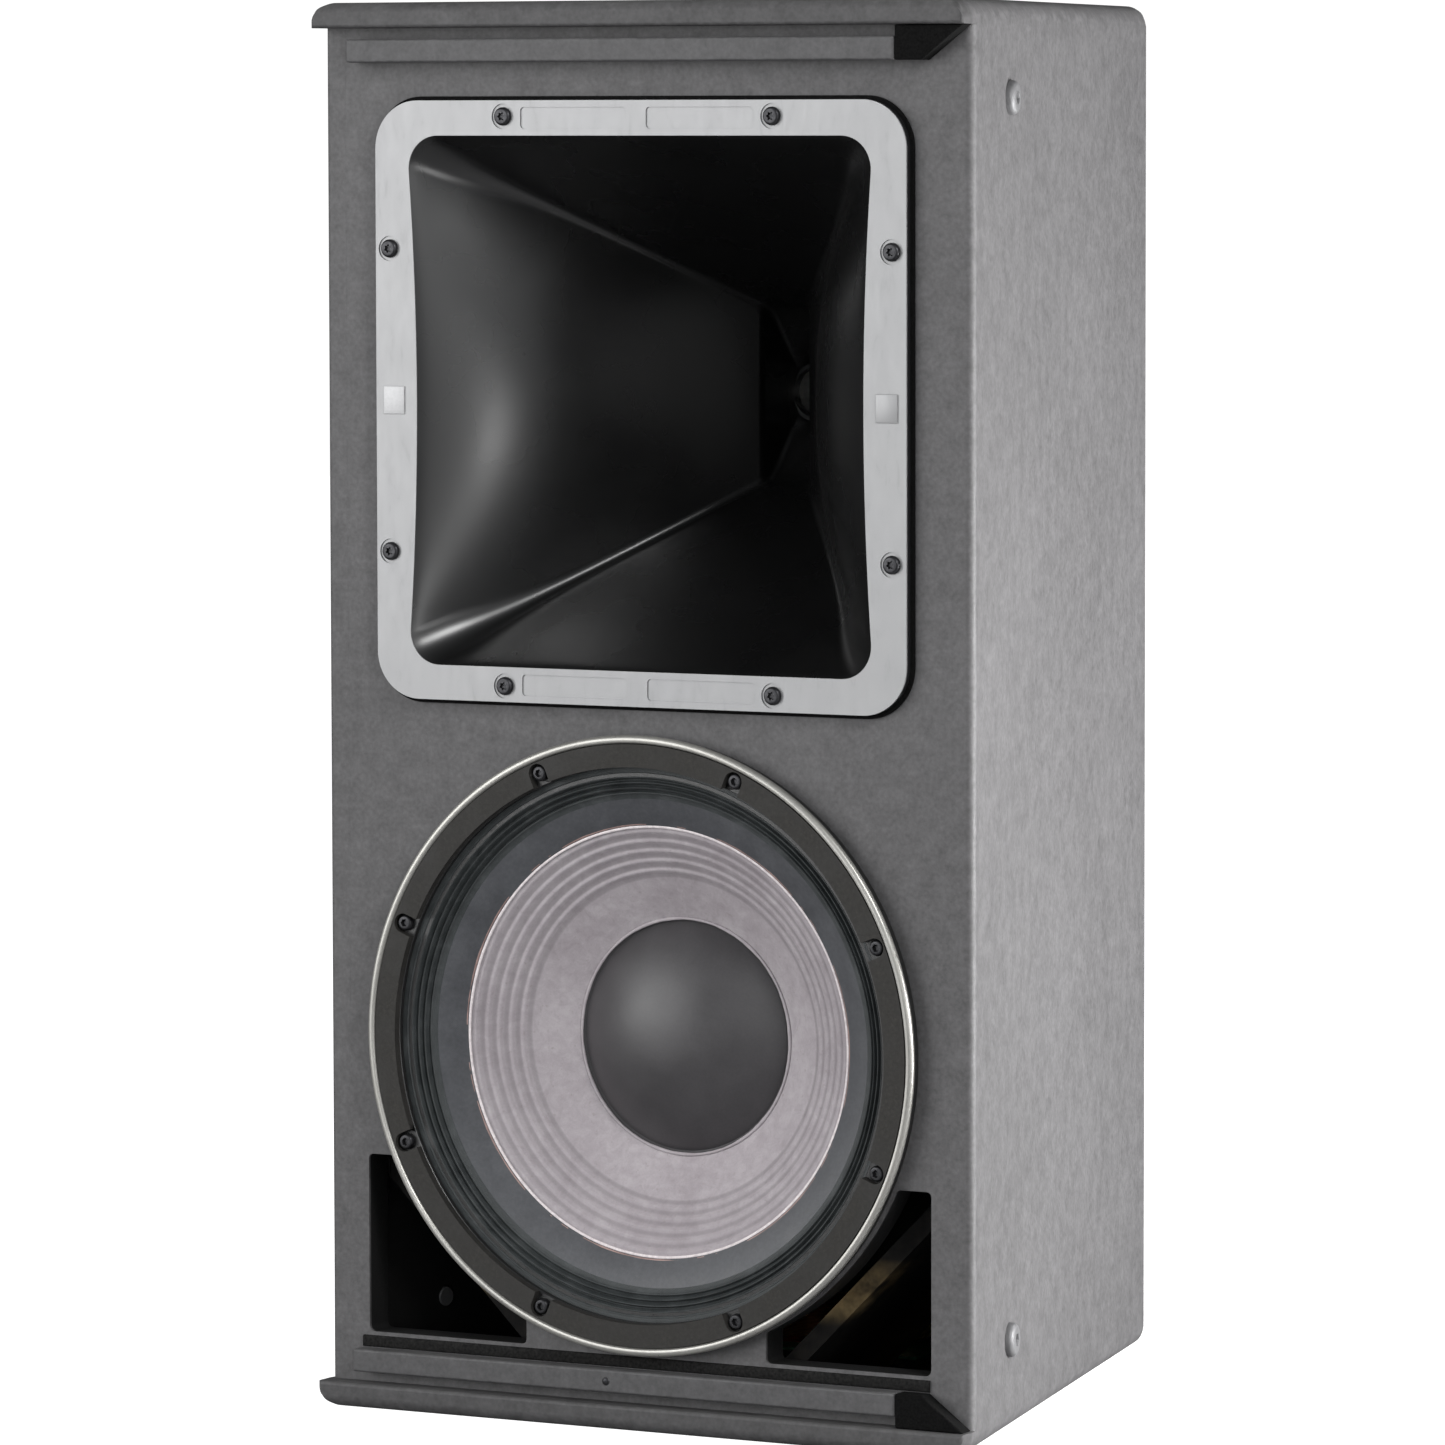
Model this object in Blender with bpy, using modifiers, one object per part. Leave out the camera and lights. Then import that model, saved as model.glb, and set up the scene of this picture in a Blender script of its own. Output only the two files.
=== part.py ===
"""Compact 12-inch two-way loudspeaker cabinet, shown with its grille off.

A tapered plywood box (wide baffle, narrow back) carries a square horn above a
12-inch woofer, with two triangular corner vents. Every piece is its own object.

Frame: metres, +Z up. The origin is on the floor, at mid width, in the plane of
the front baffle's face. The front faces -Y and the back faces +Y; "right" is +X.
Dimensions below are in millimetres and are multiplied by MM when used.
"""

import math

import bmesh
import bpy
from mathutils import Matrix, Vector

MM = 0.001

# ---- cabinet ---------------------------------------------------------------
HEIGHT = 711.0  # overall, floor to top
FRONT_W = 368.0  # width at the baffle
BACK_W = 200.0  # width at the back
DEPTH = 368.0  # baffle face to back face
LIP = 12.5  # top and bottom panels stand this far in front of the baffle
PANEL = 12.7  # plywood thickness
BAFFLE_T = 18.0
GAP = 0.3  # between neighbouring pieces
EDGE_R = 11.5  # rounding along the side edges of top and bottom panels
BACK_EDGE_R = 6.9  # rounding along their outer back edges
LIP_R = 6.0  # rounding along the lips' outer front edges
LIP_INNER_R = 2.0  # rounding along the lips' inner front edges
SIDE_FRONT_R = 2.5
SIDE_BACK_R = 7.0

SLOPE = (FRONT_W - BACK_W) / 2 / DEPTH  # inward run of a side per mm of depth
TAPER = math.atan(SLOPE)  # side panel's angle from the centre plane
PANEL_X = PANEL / math.cos(TAPER)  # a side panel's thickness measured along X

# heights between which the side, back and baffle panels stand
WALL_LOW, WALL_HIGH = PANEL + GAP, HEIGHT - PANEL - GAP
WALL_MID, WALL_H = (WALL_LOW + WALL_HIGH) / 2, WALL_HIGH - WALL_LOW

# ---- openings and fixings shared by several pieces --------------------------
HORN_Z = 512.0  # centre height
HORN_CUT = 136.0  # half of the hole in the baffle
HORN_CUT_R = 12.0  # that hole's corner radius
HORN_SCREW_PILOT = 2.3  # hole radius in the baffle
HORN_SCREW_CLEAR = 2.6  # hole radius in the flange and seal
# (x, height above the horn's centre)
HORN_SCREWS = [(76, 142), (-76, 142), (142, 76), (142, -76),
               (76, -142), (-76, -142), (-142, -76), (-142, 76)]

WOOFER_Z = 193.0  # centre height
WOOFER_CUT = 139.5  # radius of the hole in the baffle
WOOFER_SCREW_HOLE = 2.7  # hole radius in baffle and basket
WOOFER_SCREW_CIRCLE = 145.2
WOOFER_SCREWS = [(WOOFER_SCREW_CIRCLE * math.cos(angle), WOOFER_SCREW_CIRCLE * math.sin(angle))
                 for angle in (math.radians(22.5 + 45 * i) for i in range(8))]

INPUT_Z = 262.0  # input plate's centre height
INPUT_W, INPUT_H = 116.0, 150.0

# ---- rotations -------------------------------------------------------------
FACE_FRONT = (math.radians(90), 0, 0)  # local Z to -Y, local Y to +Z
FACE_BACK = (math.radians(90), 0, math.radians(180))  # local Z to +Y

# ---------------------------------------------------------------------------
# scene and materials
# ---------------------------------------------------------------------------
for old in list(bpy.data.objects):
    bpy.data.objects.remove(old, do_unlink=True)


def collection(name):
    made = bpy.data.collections.new(name)
    bpy.context.scene.collection.children.link(made)
    return made


PARTS = collection("pa_speaker_cabinet")
CUTTERS = collection("cutters")


def material(name, rgb, roughness, metallic=0.0):
    made = bpy.data.materials.new(name)
    made.use_nodes = True
    shader = made.node_tree.nodes["Principled BSDF"]
    shader.inputs["Base Color"].default_value = (*rgb, 1.0)
    shader.inputs["Roughness"].default_value = roughness
    shader.inputs["Metallic"].default_value = metallic
    made.diffuse_color = (*rgb, 1.0)
    return made


PAINT = material("cabinet_paint", rgb=(0.105, 0.103, 0.107), roughness=0.62)
BARE_WOOD = material("bare_plywood", rgb=(0.36, 0.25, 0.14), roughness=0.7)
BATTEN_PAINT = material("batten_paint", rgb=(0.095, 0.093, 0.097), roughness=0.7)
WOOL = material("damping_wool", rgb=(0.55, 0.53, 0.48), roughness=0.95)
HORN_BLACK = material("horn_moulding", rgb=(0.012, 0.012, 0.013), roughness=0.28)
SEAL = material("black_seal", rgb=(0.01, 0.01, 0.01), roughness=0.8)
ALUMINIUM = material("machined_aluminium", rgb=(0.62, 0.61, 0.6), roughness=0.38, metallic=1.0)
FERRITE = material("ferrite", rgb=(0.045, 0.045, 0.048), roughness=0.55)
ZINC = material("zinc_steel", rgb=(0.56, 0.57, 0.58), roughness=0.36, metallic=1.0)
TITANIUM = material("titanium_foil", rgb=(0.5, 0.49, 0.47), roughness=0.3, metallic=1.0)
BLACK_SCREW = material("black_screw", rgb=(0.02, 0.02, 0.022), roughness=0.42, metallic=0.7)
GASKET_PAPER = material("gasket_paper", rgb=(0.05, 0.048, 0.042), roughness=0.85)
CONE_PAPER = material("cone_paper", rgb=(0.36, 0.34, 0.36), roughness=0.8)
CLOTH = material("treated_cloth", rgb=(0.03, 0.03, 0.033), roughness=0.6)
SPIDER_CLOTH = material("spider_cloth", rgb=(0.5, 0.3, 0.1), roughness=0.8)
CAP_PAPER = material("dust_cap", rgb=(0.075, 0.074, 0.078), roughness=0.55)
COPPER = material("copper", rgb=(0.72, 0.36, 0.2), roughness=0.3, metallic=1.0)
BOARD = material("circuit_board", rgb=(0.02, 0.12, 0.05), roughness=0.5)
FILM = material("capacitor_film", rgb=(0.6, 0.42, 0.06), roughness=0.35)
PLATE_BLACK = material("plate_paint", rgb=(0.02, 0.02, 0.021), roughness=0.5)
SOCKET_BLUE = material("socket_moulding", rgb=(0.018, 0.02, 0.026), roughness=0.4)
SWITCH_GREY = material("switch_lever", rgb=(0.5, 0.5, 0.5), roughness=0.45)
TERMINAL = material("terminal_block", rgb=(0.02, 0.02, 0.02), roughness=0.5)
LEAD_RED = material("lead_red", rgb=(0.42, 0.02, 0.02), roughness=0.5)
LEAD_BLACK = material("lead_black", rgb=(0.015, 0.015, 0.015), roughness=0.5)


# ---------------------------------------------------------------------------
# helpers; lengths go in as millimetres
# ---------------------------------------------------------------------------
def place(obj, mat, loc=(0, 0, 0), rot=(0, 0, 0), home=PARTS):
    """Sets an object's place, material and collection."""
    obj.location = Vector(loc) * MM
    obj.rotation_euler = rot
    if mat is not None:
        obj.data.materials.clear()
        obj.data.materials.append(mat)
    for user in list(obj.users_collection):
        user.objects.unlink(obj)
    home.objects.link(obj)
    return obj


def flat_plate(name, loops, thick, mat, loc=(0, 0, 0), rot=(0, 0, 0), merge_caps=False):
    """A flat outline, with any holes as further loops, made thick about its own plane."""
    curve = bpy.data.curves.new(name + "_outline", "CURVE")
    curve.dimensions = "2D"
    curve.fill_mode = "BOTH"
    curve.extrude = thick / 2 * MM
    for loop in loops:
        line = curve.splines.new("POLY")
        line.points.add(len(loop) - 1)
        for point, (x, y) in zip(line.points, loop):
            point.co = (x * MM, y * MM, 0, 1)
        line.use_cyclic_u = True
    guide = bpy.data.objects.new(name + "_guide", curve)
    bpy.context.scene.collection.objects.link(guide)
    bpy.context.view_layer.update()
    graph = bpy.context.evaluated_depsgraph_get()
    mesh = bpy.data.meshes.new_from_object(guide.evaluated_get(graph))
    bpy.data.objects.remove(guide, do_unlink=True)
    bpy.data.curves.remove(curve)

    # the filled curve's caps and walls come unjoined
    bm = bmesh.new()
    bm.from_mesh(mesh)
    bmesh.ops.remove_doubles(bm, verts=bm.verts, dist=1e-6)
    if merge_caps:
        bmesh.ops.dissolve_limit(bm, angle_limit=math.radians(0.5), verts=bm.verts, edges=bm.edges)
    bmesh.ops.recalc_face_normals(bm, faces=bm.faces)
    bm.to_mesh(mesh)
    bm.free()
    mesh.name = name
    return place(bpy.data.objects.new(name, mesh), mat, loc, rot)


def turned(name, profile, mat, steps, loc=(0, 0, 0), rot=(0, 0, 0)):
    """A profile of (radius, height) points turned about the local Z axis.
    A profile whose ends are off the axis is a closed loop, as for a ring."""
    on_axis = profile[0][0] == 0 and profile[-1][0] == 0
    # the winding decides which way the turned faces look
    area = sum(a[0] * b[1] - b[0] * a[1] for a, b in zip(profile, profile[1:] + profile[:1]))
    points = profile if area < 0 else list(reversed(profile))
    mesh = bpy.data.meshes.new(name)
    bm = bmesh.new()
    verts = [bm.verts.new((r * MM, 0, z * MM)) for r, z in points]
    for pair in zip(verts, verts[1:]):
        bm.edges.new(pair)
    if not on_axis:
        bm.edges.new((verts[-1], verts[0]))
    bm.to_mesh(mesh)
    bm.free()
    obj = place(bpy.data.objects.new(name, mesh), mat, loc, rot)
    turn = obj.modifiers.new("turn", "SCREW")
    turn.axis = "Z"
    turn.steps = turn.render_steps = steps
    turn.use_merge_vertices = True
    turn.merge_threshold = 0.00001
    turn.use_smooth_shade = True
    return obj


def block(name, size, loc, mat, rot=(0, 0, 0), bevel=0.0, segments=1):
    """A box of the given full sizes about its centre, with rounded edges if bevel is set."""
    bpy.ops.mesh.primitive_cube_add(size=1)
    obj = bpy.context.object
    obj.name = obj.data.name = name
    obj.data.transform(Matrix.Diagonal((*(Vector(size) * MM), 1)))
    place(obj, mat, loc, rot)
    if bevel:
        edges = obj.modifiers.new("edges", "BEVEL")
        edges.width = bevel * MM
        edges.segments = segments


def round_edges(obj, widest, rules):
    """Rounds each edge by the radius of the first (rule, radius) that holds for its two ends,
    given in local mm. No radius may be over widest."""
    mesh = obj.data
    weights = mesh.attributes.new("bevel_weight_edge", "FLOAT", "EDGE")
    for edge in mesh.edges:
        start, end = (mesh.vertices[i].co / MM for i in edge.vertices)
        for rule, radius in rules:
            if rule(start, end):
                weights.data[edge.index].value = radius / widest
                break
    edges = obj.modifiers.new("edges", "BEVEL")
    edges.limit_method = "WEIGHT"
    edges.width = widest * MM
    edges.segments = 4


def cut(obj, cutter):
    difference = obj.modifiers.new("cut_" + cutter.name, "BOOLEAN")
    difference.operation = "DIFFERENCE"
    difference.solver = "EXACT"
    difference.object = cutter


def cutter_of(name, drills=(), boxes=(), loc=(0, 0, 0), rot=(0, 0, 0)):
    """One hidden cutter from drills, each (matrix, radius, length, sides),
    and boxes, each (matrix, full sizes)."""
    mesh = bpy.data.meshes.new(name)
    bm = bmesh.new()
    for matrix, radius, length, sides in drills:
        bmesh.ops.create_cone(bm, cap_ends=True, cap_tris=False, segments=sides,
                              radius1=radius * MM, radius2=radius * MM, depth=length * MM,
                              matrix=matrix)
    for matrix, sizes in boxes:
        scale = Matrix.Diagonal((*(Vector(sizes) * MM), 1))
        bmesh.ops.create_cube(bm, size=1, matrix=matrix @ scale)
    bmesh.ops.recalc_face_normals(bm, faces=bm.faces)
    bm.to_mesh(mesh)
    bm.free()
    cutter = place(bpy.data.objects.new(name, mesh), None, loc, rot, CUTTERS)
    cutter.hide_render = True
    cutter.display_type = "WIRE"
    return cutter


def at(x, y, z):
    return Matrix.Translation(Vector((x, y, z)) * MM)


def circle(center_x, center_y, radius, sides):
    angles = [2 * math.pi * i / sides for i in range(sides)]
    return [(center_x + radius * math.cos(a), center_y + radius * math.sin(a)) for a in angles]


def rectangle(half_w, low, high):
    return [(-half_w, low), (half_w, low), (half_w, high), (-half_w, high)]


def rounded_rect(half_w, half_h, radius, per_corner, center_y=0.0):
    """A rounded rectangle, anticlockwise, with per_corner + 1 points on each corner."""
    points = []
    for sign_x, sign_y, begin in ((1, 1, 0), (-1, 1, 90), (-1, -1, 180), (1, -1, 270)):
        for i in range(per_corner + 1):
            a = math.radians(begin + 90 * i / per_corner)
            points.append((sign_x * (half_w - radius) + radius * math.cos(a),
                           center_y + sign_y * (half_h - radius) + radius * math.sin(a)))
    return points


def shell(outside, thick):
    """A thin shell's profile, from its outside's points, which start on the axis."""
    inner_scale = 0.985  # the inside's radius against the outside's
    return outside + [(r * inner_scale, z - thick) for r, z in reversed(outside)]


def screw(name, loc, head_r, head_h, shank_r, length):
    """A pan-head screw facing the front. Its head rests at its own origin and its shank
    runs along local -Z."""
    profile = [(0, head_h), (head_r * 0.62, head_h), (head_r, head_h * 0.5), (head_r, 0),
               (shank_r, 0), (shank_r, -length), (0, -length)]
    turned(name, profile, BLACK_SCREW, 8, loc, FACE_FRONT)


def inner_half(y):
    """Half width between the side panels' inner faces at this depth."""
    return FRONT_W / 2 - SLOPE * y - PANEL_X


def tapered_outline(front_y, back_y):
    """Plan of a piece that fits between the side panels."""
    front, back = inner_half(front_y) - GAP, inner_half(back_y) - GAP
    return [(-front, front_y), (front, front_y), (back, back_y), (-back, back_y)]


# ---------------------------------------------------------------------------
# box: top, bottom, sides, back
# ---------------------------------------------------------------------------
NEAR = 0.1  # two coordinates closer than this count as the same


def upright(start, end):
    return abs(start.z - end.z) > NEAR


def at_front(start, end, front_y):
    return max(start.y, end.y) < front_y + NEAR


def at_back(start, end):
    return min(start.y, end.y) > DEPTH - NEAR


def end_panel(name, z_mid, outer_sign):
    """The top or bottom panel: a trapezium with a straight lip in front of the baffle."""
    front, back = FRONT_W / 2, BACK_W / 2
    outline = [(-front, -LIP), (front, -LIP), (front, 0), (back, DEPTH), (-back, DEPTH),
               (-front, 0)]
    panel = flat_plate(name, [outline], PANEL, PAINT, (0, 0, z_mid), merge_caps=True)
    outer_z = outer_sign * PANEL / 2

    def on_outer(start, end):
        return abs(start.z - outer_z) < NEAR and abs(end.z - outer_z) < NEAR

    def along_side(start, end):
        return on_outer(start, end) and start.x * end.x > 0 and abs(start.y - end.y) > NEAR

    def along_back(start, end):
        return on_outer(start, end) and at_back(start, end)

    def lip_outer(start, end):
        return on_outer(start, end) and at_front(start, end, -LIP)

    def lip_inner_or_upright(start, end):
        return at_front(start, end, -LIP)

    def upright_back(start, end):
        return upright(start, end) and at_back(start, end)

    round_edges(panel, EDGE_R, [
        (along_side, EDGE_R),
        (along_back, BACK_EDGE_R),
        (lip_outer, LIP_R),
        (lip_inner_or_upright, LIP_INNER_R),
        (upright_back, SIDE_BACK_R),
    ])


# rigging points in the side panels
RIG_BACK = 72.0  # along the side from its front edge
RIG_END = 48.0  # from top and from bottom
RIG_DRILL_R = 5.6
RIG_PLUG = [(0, 4.2), (5.6, 4.2), (7.8, 2.9), (8.6, 1.2), (8.6, 0), (5.0, 0), (5.0, -20),
            (0, -20)]  # (radius, height)


def rig_point(side, z):
    """Centre of a rigging point on a side panel's outer face."""
    x = FRONT_W / 2 - RIG_BACK * math.sin(TAPER)
    return Vector((side * x, RIG_BACK * math.cos(TAPER), z))


def side_panel(name, side):
    front, back = FRONT_W / 2, BACK_W / 2
    outline = [(side * front, 0), (side * back, DEPTH), (side * (back - PANEL_X), DEPTH),
               (side * (front - PANEL_X), 0)]
    panel = flat_plate(name, [outline], WALL_H, PAINT, (0, 0, WALL_MID), merge_caps=True)

    def outer_front(start, end):
        return (upright(start, end) and at_front(start, end, 0)
                and abs(abs(start.x) - front) < NEAR)

    def outer_back(start, end):
        return upright(start, end) and at_back(start, end) and abs(abs(start.x) - back) < NEAR

    round_edges(panel, SIDE_BACK_R, [(outer_back, SIDE_BACK_R), (outer_front, SIDE_FRONT_R)])
    turn = (Matrix.Rotation(side * TAPER, 4, "Z")
            @ Matrix.Rotation(side * math.radians(90), 4, "Y"))
    drills = [(at(*rig_point(side, z)) @ turn, RIG_DRILL_R, 60.0, 16)
              for z in (RIG_END, HEIGHT - RIG_END)]
    cut(panel, cutter_of(name + "_drill", drills=drills))


def rigging_plug(side, side_name, z, end_name):
    out = Vector((side * math.cos(TAPER), math.sin(TAPER), 0)) * GAP
    outward = (0, side * math.radians(90), side * TAPER)  # local Z out of the side panel
    turned(f"{side_name}_{end_name}_rigging_plug", RIG_PLUG, BLACK_SCREW, 12,
           rig_point(side, z) + out, outward)


def back_panel():
    border = 10.0  # the input plate laps the window by this much all round
    panel = flat_plate("back_panel", [tapered_outline(DEPTH - PANEL, DEPTH)], WALL_H, PAINT,
                       (0, 0, WALL_MID), merge_caps=True)
    window = (INPUT_W - 2 * border, PANEL * 3, INPUT_H - 2 * border)
    cut(panel, cutter_of("back_window", boxes=[(at(0, DEPTH - PANEL / 2, INPUT_Z), window)]))


end_panel("top_panel", HEIGHT - PANEL / 2, 1)
end_panel("bottom_panel", PANEL / 2, -1)
for side, side_name in ((1, "right"), (-1, "left")):
    side_panel(f"{side_name}_side_panel", side)
    rigging_plug(side, side_name, HEIGHT - RIG_END, "upper")
    rigging_plug(side, side_name, RIG_END, "lower")
back_panel()

# ---------------------------------------------------------------------------
# front baffle with its openings
# ---------------------------------------------------------------------------
VENT_IN, VENT_OUT = 68.5, 160.5  # x of a vent's inner corner and outer edge
VENT_LOW, VENT_HIGH = 38.0, 129.0  # its lower and upper edges
VENT_ARC = 155.5  # radius of its curved edge, about the woofer's axis
VENT_ARC_STEPS = 10


def vent_loop(side):
    """A corner vent: its inner-upper edge follows the woofer's rim."""
    high = VENT_HIGH - WOOFER_Z
    first = math.atan2(-math.sqrt(VENT_ARC**2 - VENT_IN**2), VENT_IN)
    last = math.atan2(high, math.sqrt(VENT_ARC**2 - high**2))
    angles = [first + (last - first) * i / VENT_ARC_STEPS for i in range(VENT_ARC_STEPS + 1)]
    arc = [(VENT_ARC * math.cos(a), WOOFER_Z + VENT_ARC * math.sin(a)) for a in angles]
    loop = [(VENT_IN, VENT_LOW)] + arc + [(VENT_OUT, VENT_HIGH), (VENT_OUT, VENT_LOW)]
    return [(side * x, z) for x, z in loop]


def front_baffle():
    half = inner_half(0) - GAP
    loops = [rectangle(half, WALL_LOW, WALL_HIGH),
             rounded_rect(HORN_CUT, HORN_CUT, HORN_CUT_R, 3, HORN_Z),
             circle(0, WOOFER_Z, WOOFER_CUT, 56),
             vent_loop(1),
             vent_loop(-1)]
    loops += [circle(x, HORN_Z + z, HORN_SCREW_PILOT, 8) for x, z in HORN_SCREWS]
    loops += [circle(x, WOOFER_Z + z, WOOFER_SCREW_HOLE, 8) for x, z in WOOFER_SCREWS]
    baffle = flat_plate("front_baffle", loops, BAFFLE_T, PAINT, (0, BAFFLE_T / 2, 0), FACE_FRONT)
    for v in baffle.data.vertices:
        # the long edges follow the side panels' taper; local -Z is the inner face
        if abs(v.co.x) > (half - 1) * MM and v.co.z < 0:
            v.co.x -= math.copysign(SLOPE * BAFFLE_T * MM, v.co.x)


front_baffle()

# ---------------------------------------------------------------------------
# grille battens, brace, vent boards, damping
# ---------------------------------------------------------------------------
BATTEN_W, BATTEN_H = 330.0, 11.6
BATTEN_OUT = 10.0  # batten's face in front of the baffle
BATTEN_GAP = 5.7  # between batten and panel

BRACE_Z = 354.0
BRACE_WINDOW = [(-90, 60), (90, 60), (62, 300), (-62, 300)]  # (x, y)

VENT_BOARD_T = 9.0
VENT_BOARD_OFFSET = 158.5  # distance of its woofer-side face from the woofer's axis
VENT_BOARD_FRONT, VENT_BOARD_BACK = BAFFLE_T + GAP, 150.0  # y of its ends

PAD_SIZE = (128, 24, 290)
PAD_Z = 530


def grille_batten(name, z):
    block(name, (BATTEN_W, BATTEN_OUT - GAP, BATTEN_H), (0, -(BATTEN_OUT + GAP) / 2, z),
          BATTEN_PAINT, bevel=0.8, segments=2)


def vent_board(name, side):
    """A board across the cabinet's lower corner that makes the vent's duct.
    It rises outward at 45 degrees."""
    diagonal = math.sqrt(0.5)
    near, far = VENT_BOARD_OFFSET, VENT_BOARD_OFFSET + VENT_BOARD_T
    side_x = inner_half(VENT_BOARD_FRONT) - 2 * GAP

    def point(along, across):
        """(x, z) this far up the board's rise and this far across it from the axis."""
        return diagonal * (along + across), WOOFER_Z + diagonal * (along - across)

    def at_floor(across):
        return point((WALL_LOW - WOOFER_Z) / diagonal + across, across)

    def at_side(across):
        return point(side_x / diagonal - across, across)

    outline = [at_floor(near), at_floor(far), at_side(far), at_side(near)]
    length = VENT_BOARD_BACK - VENT_BOARD_FRONT
    board = flat_plate(name, [[(side * x, z) for x, z in outline]], length, BARE_WOOD,
                       (0, (VENT_BOARD_FRONT + VENT_BOARD_BACK) / 2, 0), FACE_FRONT,
                       merge_caps=True)
    # slide the back end's upper corners down the slope, to clear the tapering side panel
    shift = SLOPE * length
    above_foot = 60  # a height between the board's lower and upper corners
    for v in board.data.vertices:
        x, z = abs(v.co.x) / MM, v.co.y / MM
        if v.co.z < 0 and z > above_foot:
            v.co.x = side * (x - shift) * MM
            v.co.y = (z - shift) * MM


batten_rise = PANEL + BATTEN_GAP + BATTEN_H / 2
grille_batten("top_grille_batten", HEIGHT - batten_rise)
grille_batten("bottom_grille_batten", batten_rise)
flat_plate("window_brace", [tapered_outline(BAFFLE_T + GAP, DEPTH - PANEL - GAP), BRACE_WINDOW],
           PANEL, BARE_WOOD, (0, 0, BRACE_Z))
vent_board("right_vent_board", 1)
vent_board("left_vent_board", -1)
block("damping_pad", PAD_SIZE, (0, DEPTH - PANEL - GAP - PAD_SIZE[1] / 2, PAD_Z), WOOL,
      bevel=7, segments=2)

# ---------------------------------------------------------------------------
# horn
# ---------------------------------------------------------------------------
HORN_HALF = 150.0  # half of the square flange
HORN_R = 24.0  # flange corner radius
HORN_SEAL_T = 1.3
HORN_SEAL_OUT = 2.0  # the seal shows this far round the flange
HORN_SEAL_IN = 0.5  # and stands this far clear of the baffle's hole
HORN_FRONT = 6.0  # flange face in front of the baffle
HORN_DEPTH = 188.0  # throat plane behind the baffle
FLANGE_BACK = HORN_SEAL_T + 2 * GAP
FLANGE_CHAMFER, FLANGE_CHAMFER_H = 1.2, 1.0
BODY_HALF, BODY_R, BODY_BACK = HORN_CUT - 1.5, 20.0, -8.0  # square body behind the flange
# the mouth's sides bow in by MOUTH_PINCH at mid height, and the bell's by more behind it
MOUTH_HALF_W, MOUTH_HALF_H, MOUTH_R, MOUTH_PINCH = 132.0, 132.5, 18.0, 5.5
BELL_PINCH = 95.0
BELL_STEPS = (0.08, 0.2, 0.35, 0.55, 0.77)  # stations from mouth (0) to slot (1)
SLOT_HALF_W, SLOT_HALF_H, SLOT_R, SLOT_Z = 13.5, 46.0, 4.0, -150.0
THROAT_R = 12.7
THROAT_FLANGE_R, THROAT_FLANGE_T = 46.0, 6.0
WALL = 3.5
SIDE_STEPS, CORNER_STEPS = 6, 4


def ring_of(half_w, half_h, radius, pinch=0.0):
    """A rounded rectangle with points along its sides too, in a fixed order, so that rings
    of unlike shape join up. pinch pulls the middle of the left and right sides inward."""
    corners = rounded_rect(half_w, half_h, radius, CORNER_STEPS)
    points = []
    for i, (x, y) in enumerate(corners):
        points.append((x, y))
        if i % (CORNER_STEPS + 1) == CORNER_STEPS:
            next_x, next_y = corners[(i + 1) % len(corners)]
            for step in range(1, SIDE_STEPS):
                t = step / SIDE_STEPS
                points.append((x + (next_x - x) * t, y + (next_y - y) * t))
    if not pinch:
        return points

    def pinched(x, y):
        if abs(x) <= half_w - radius - 1:
            return x
        return x - math.copysign(pinch * max(0.0, 1 - (y / half_h) ** 2), x)

    return [(pinched(x, y), y) for x, y in points]


def round_ring(radius):
    # a hair short of the full radius keeps the side points distinct
    return ring_of(radius, radius, radius - 0.001)


def bell(depth, wall=0.0):
    """The bell's (outline, height) this far from mouth (0) to slot (1), grown by wall."""
    half_w = MOUTH_HALF_W + (SLOT_HALF_W - MOUTH_HALF_W) * depth
    half_h = MOUTH_HALF_H + (SLOT_HALF_H - MOUTH_HALF_H) * depth
    radius = SLOT_R + (MOUTH_R - SLOT_R) * (1 - depth) ** 3
    pinch = MOUTH_PINCH * (1 - depth) ** 1.5 + BELL_PINCH * depth * (1 - depth) ** 2
    height = HORN_FRONT + (SLOT_Z - HORN_FRONT) * depth
    return ring_of(half_w + wall, half_h + wall, radius + wall, pinch), height


def horn_rings():
    """(outline, height along the horn's axis), from the flange inwards and back outside."""
    flange = ring_of(HORN_HALF, HORN_HALF, HORN_R)
    edge_half = HORN_HALF - FLANGE_CHAMFER
    body = ring_of(BODY_HALF, BODY_HALF, BODY_R)
    throat_flange = round_ring(THROAT_FLANGE_R)
    throat_flange_front = -HORN_DEPTH + THROAT_FLANGE_T
    return [
        (flange, FLANGE_BACK),
        (flange, HORN_FRONT - FLANGE_CHAMFER_H),
        (ring_of(edge_half, edge_half, HORN_R - FLANGE_CHAMFER), HORN_FRONT),
        *[bell(depth) for depth in (0.0, *BELL_STEPS, 1.0)],
        (round_ring(THROAT_R), -HORN_DEPTH),
        (throat_flange, -HORN_DEPTH),
        (throat_flange, throat_flange_front),
        (round_ring(THROAT_R + WALL), throat_flange_front),
        # the outside's first station would lie within the body, so it is left out
        *[bell(depth, WALL) for depth in (1.0, *reversed(BELL_STEPS[1:]))],
        (body, BODY_BACK),
        (body, FLANGE_BACK),
    ]


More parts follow.
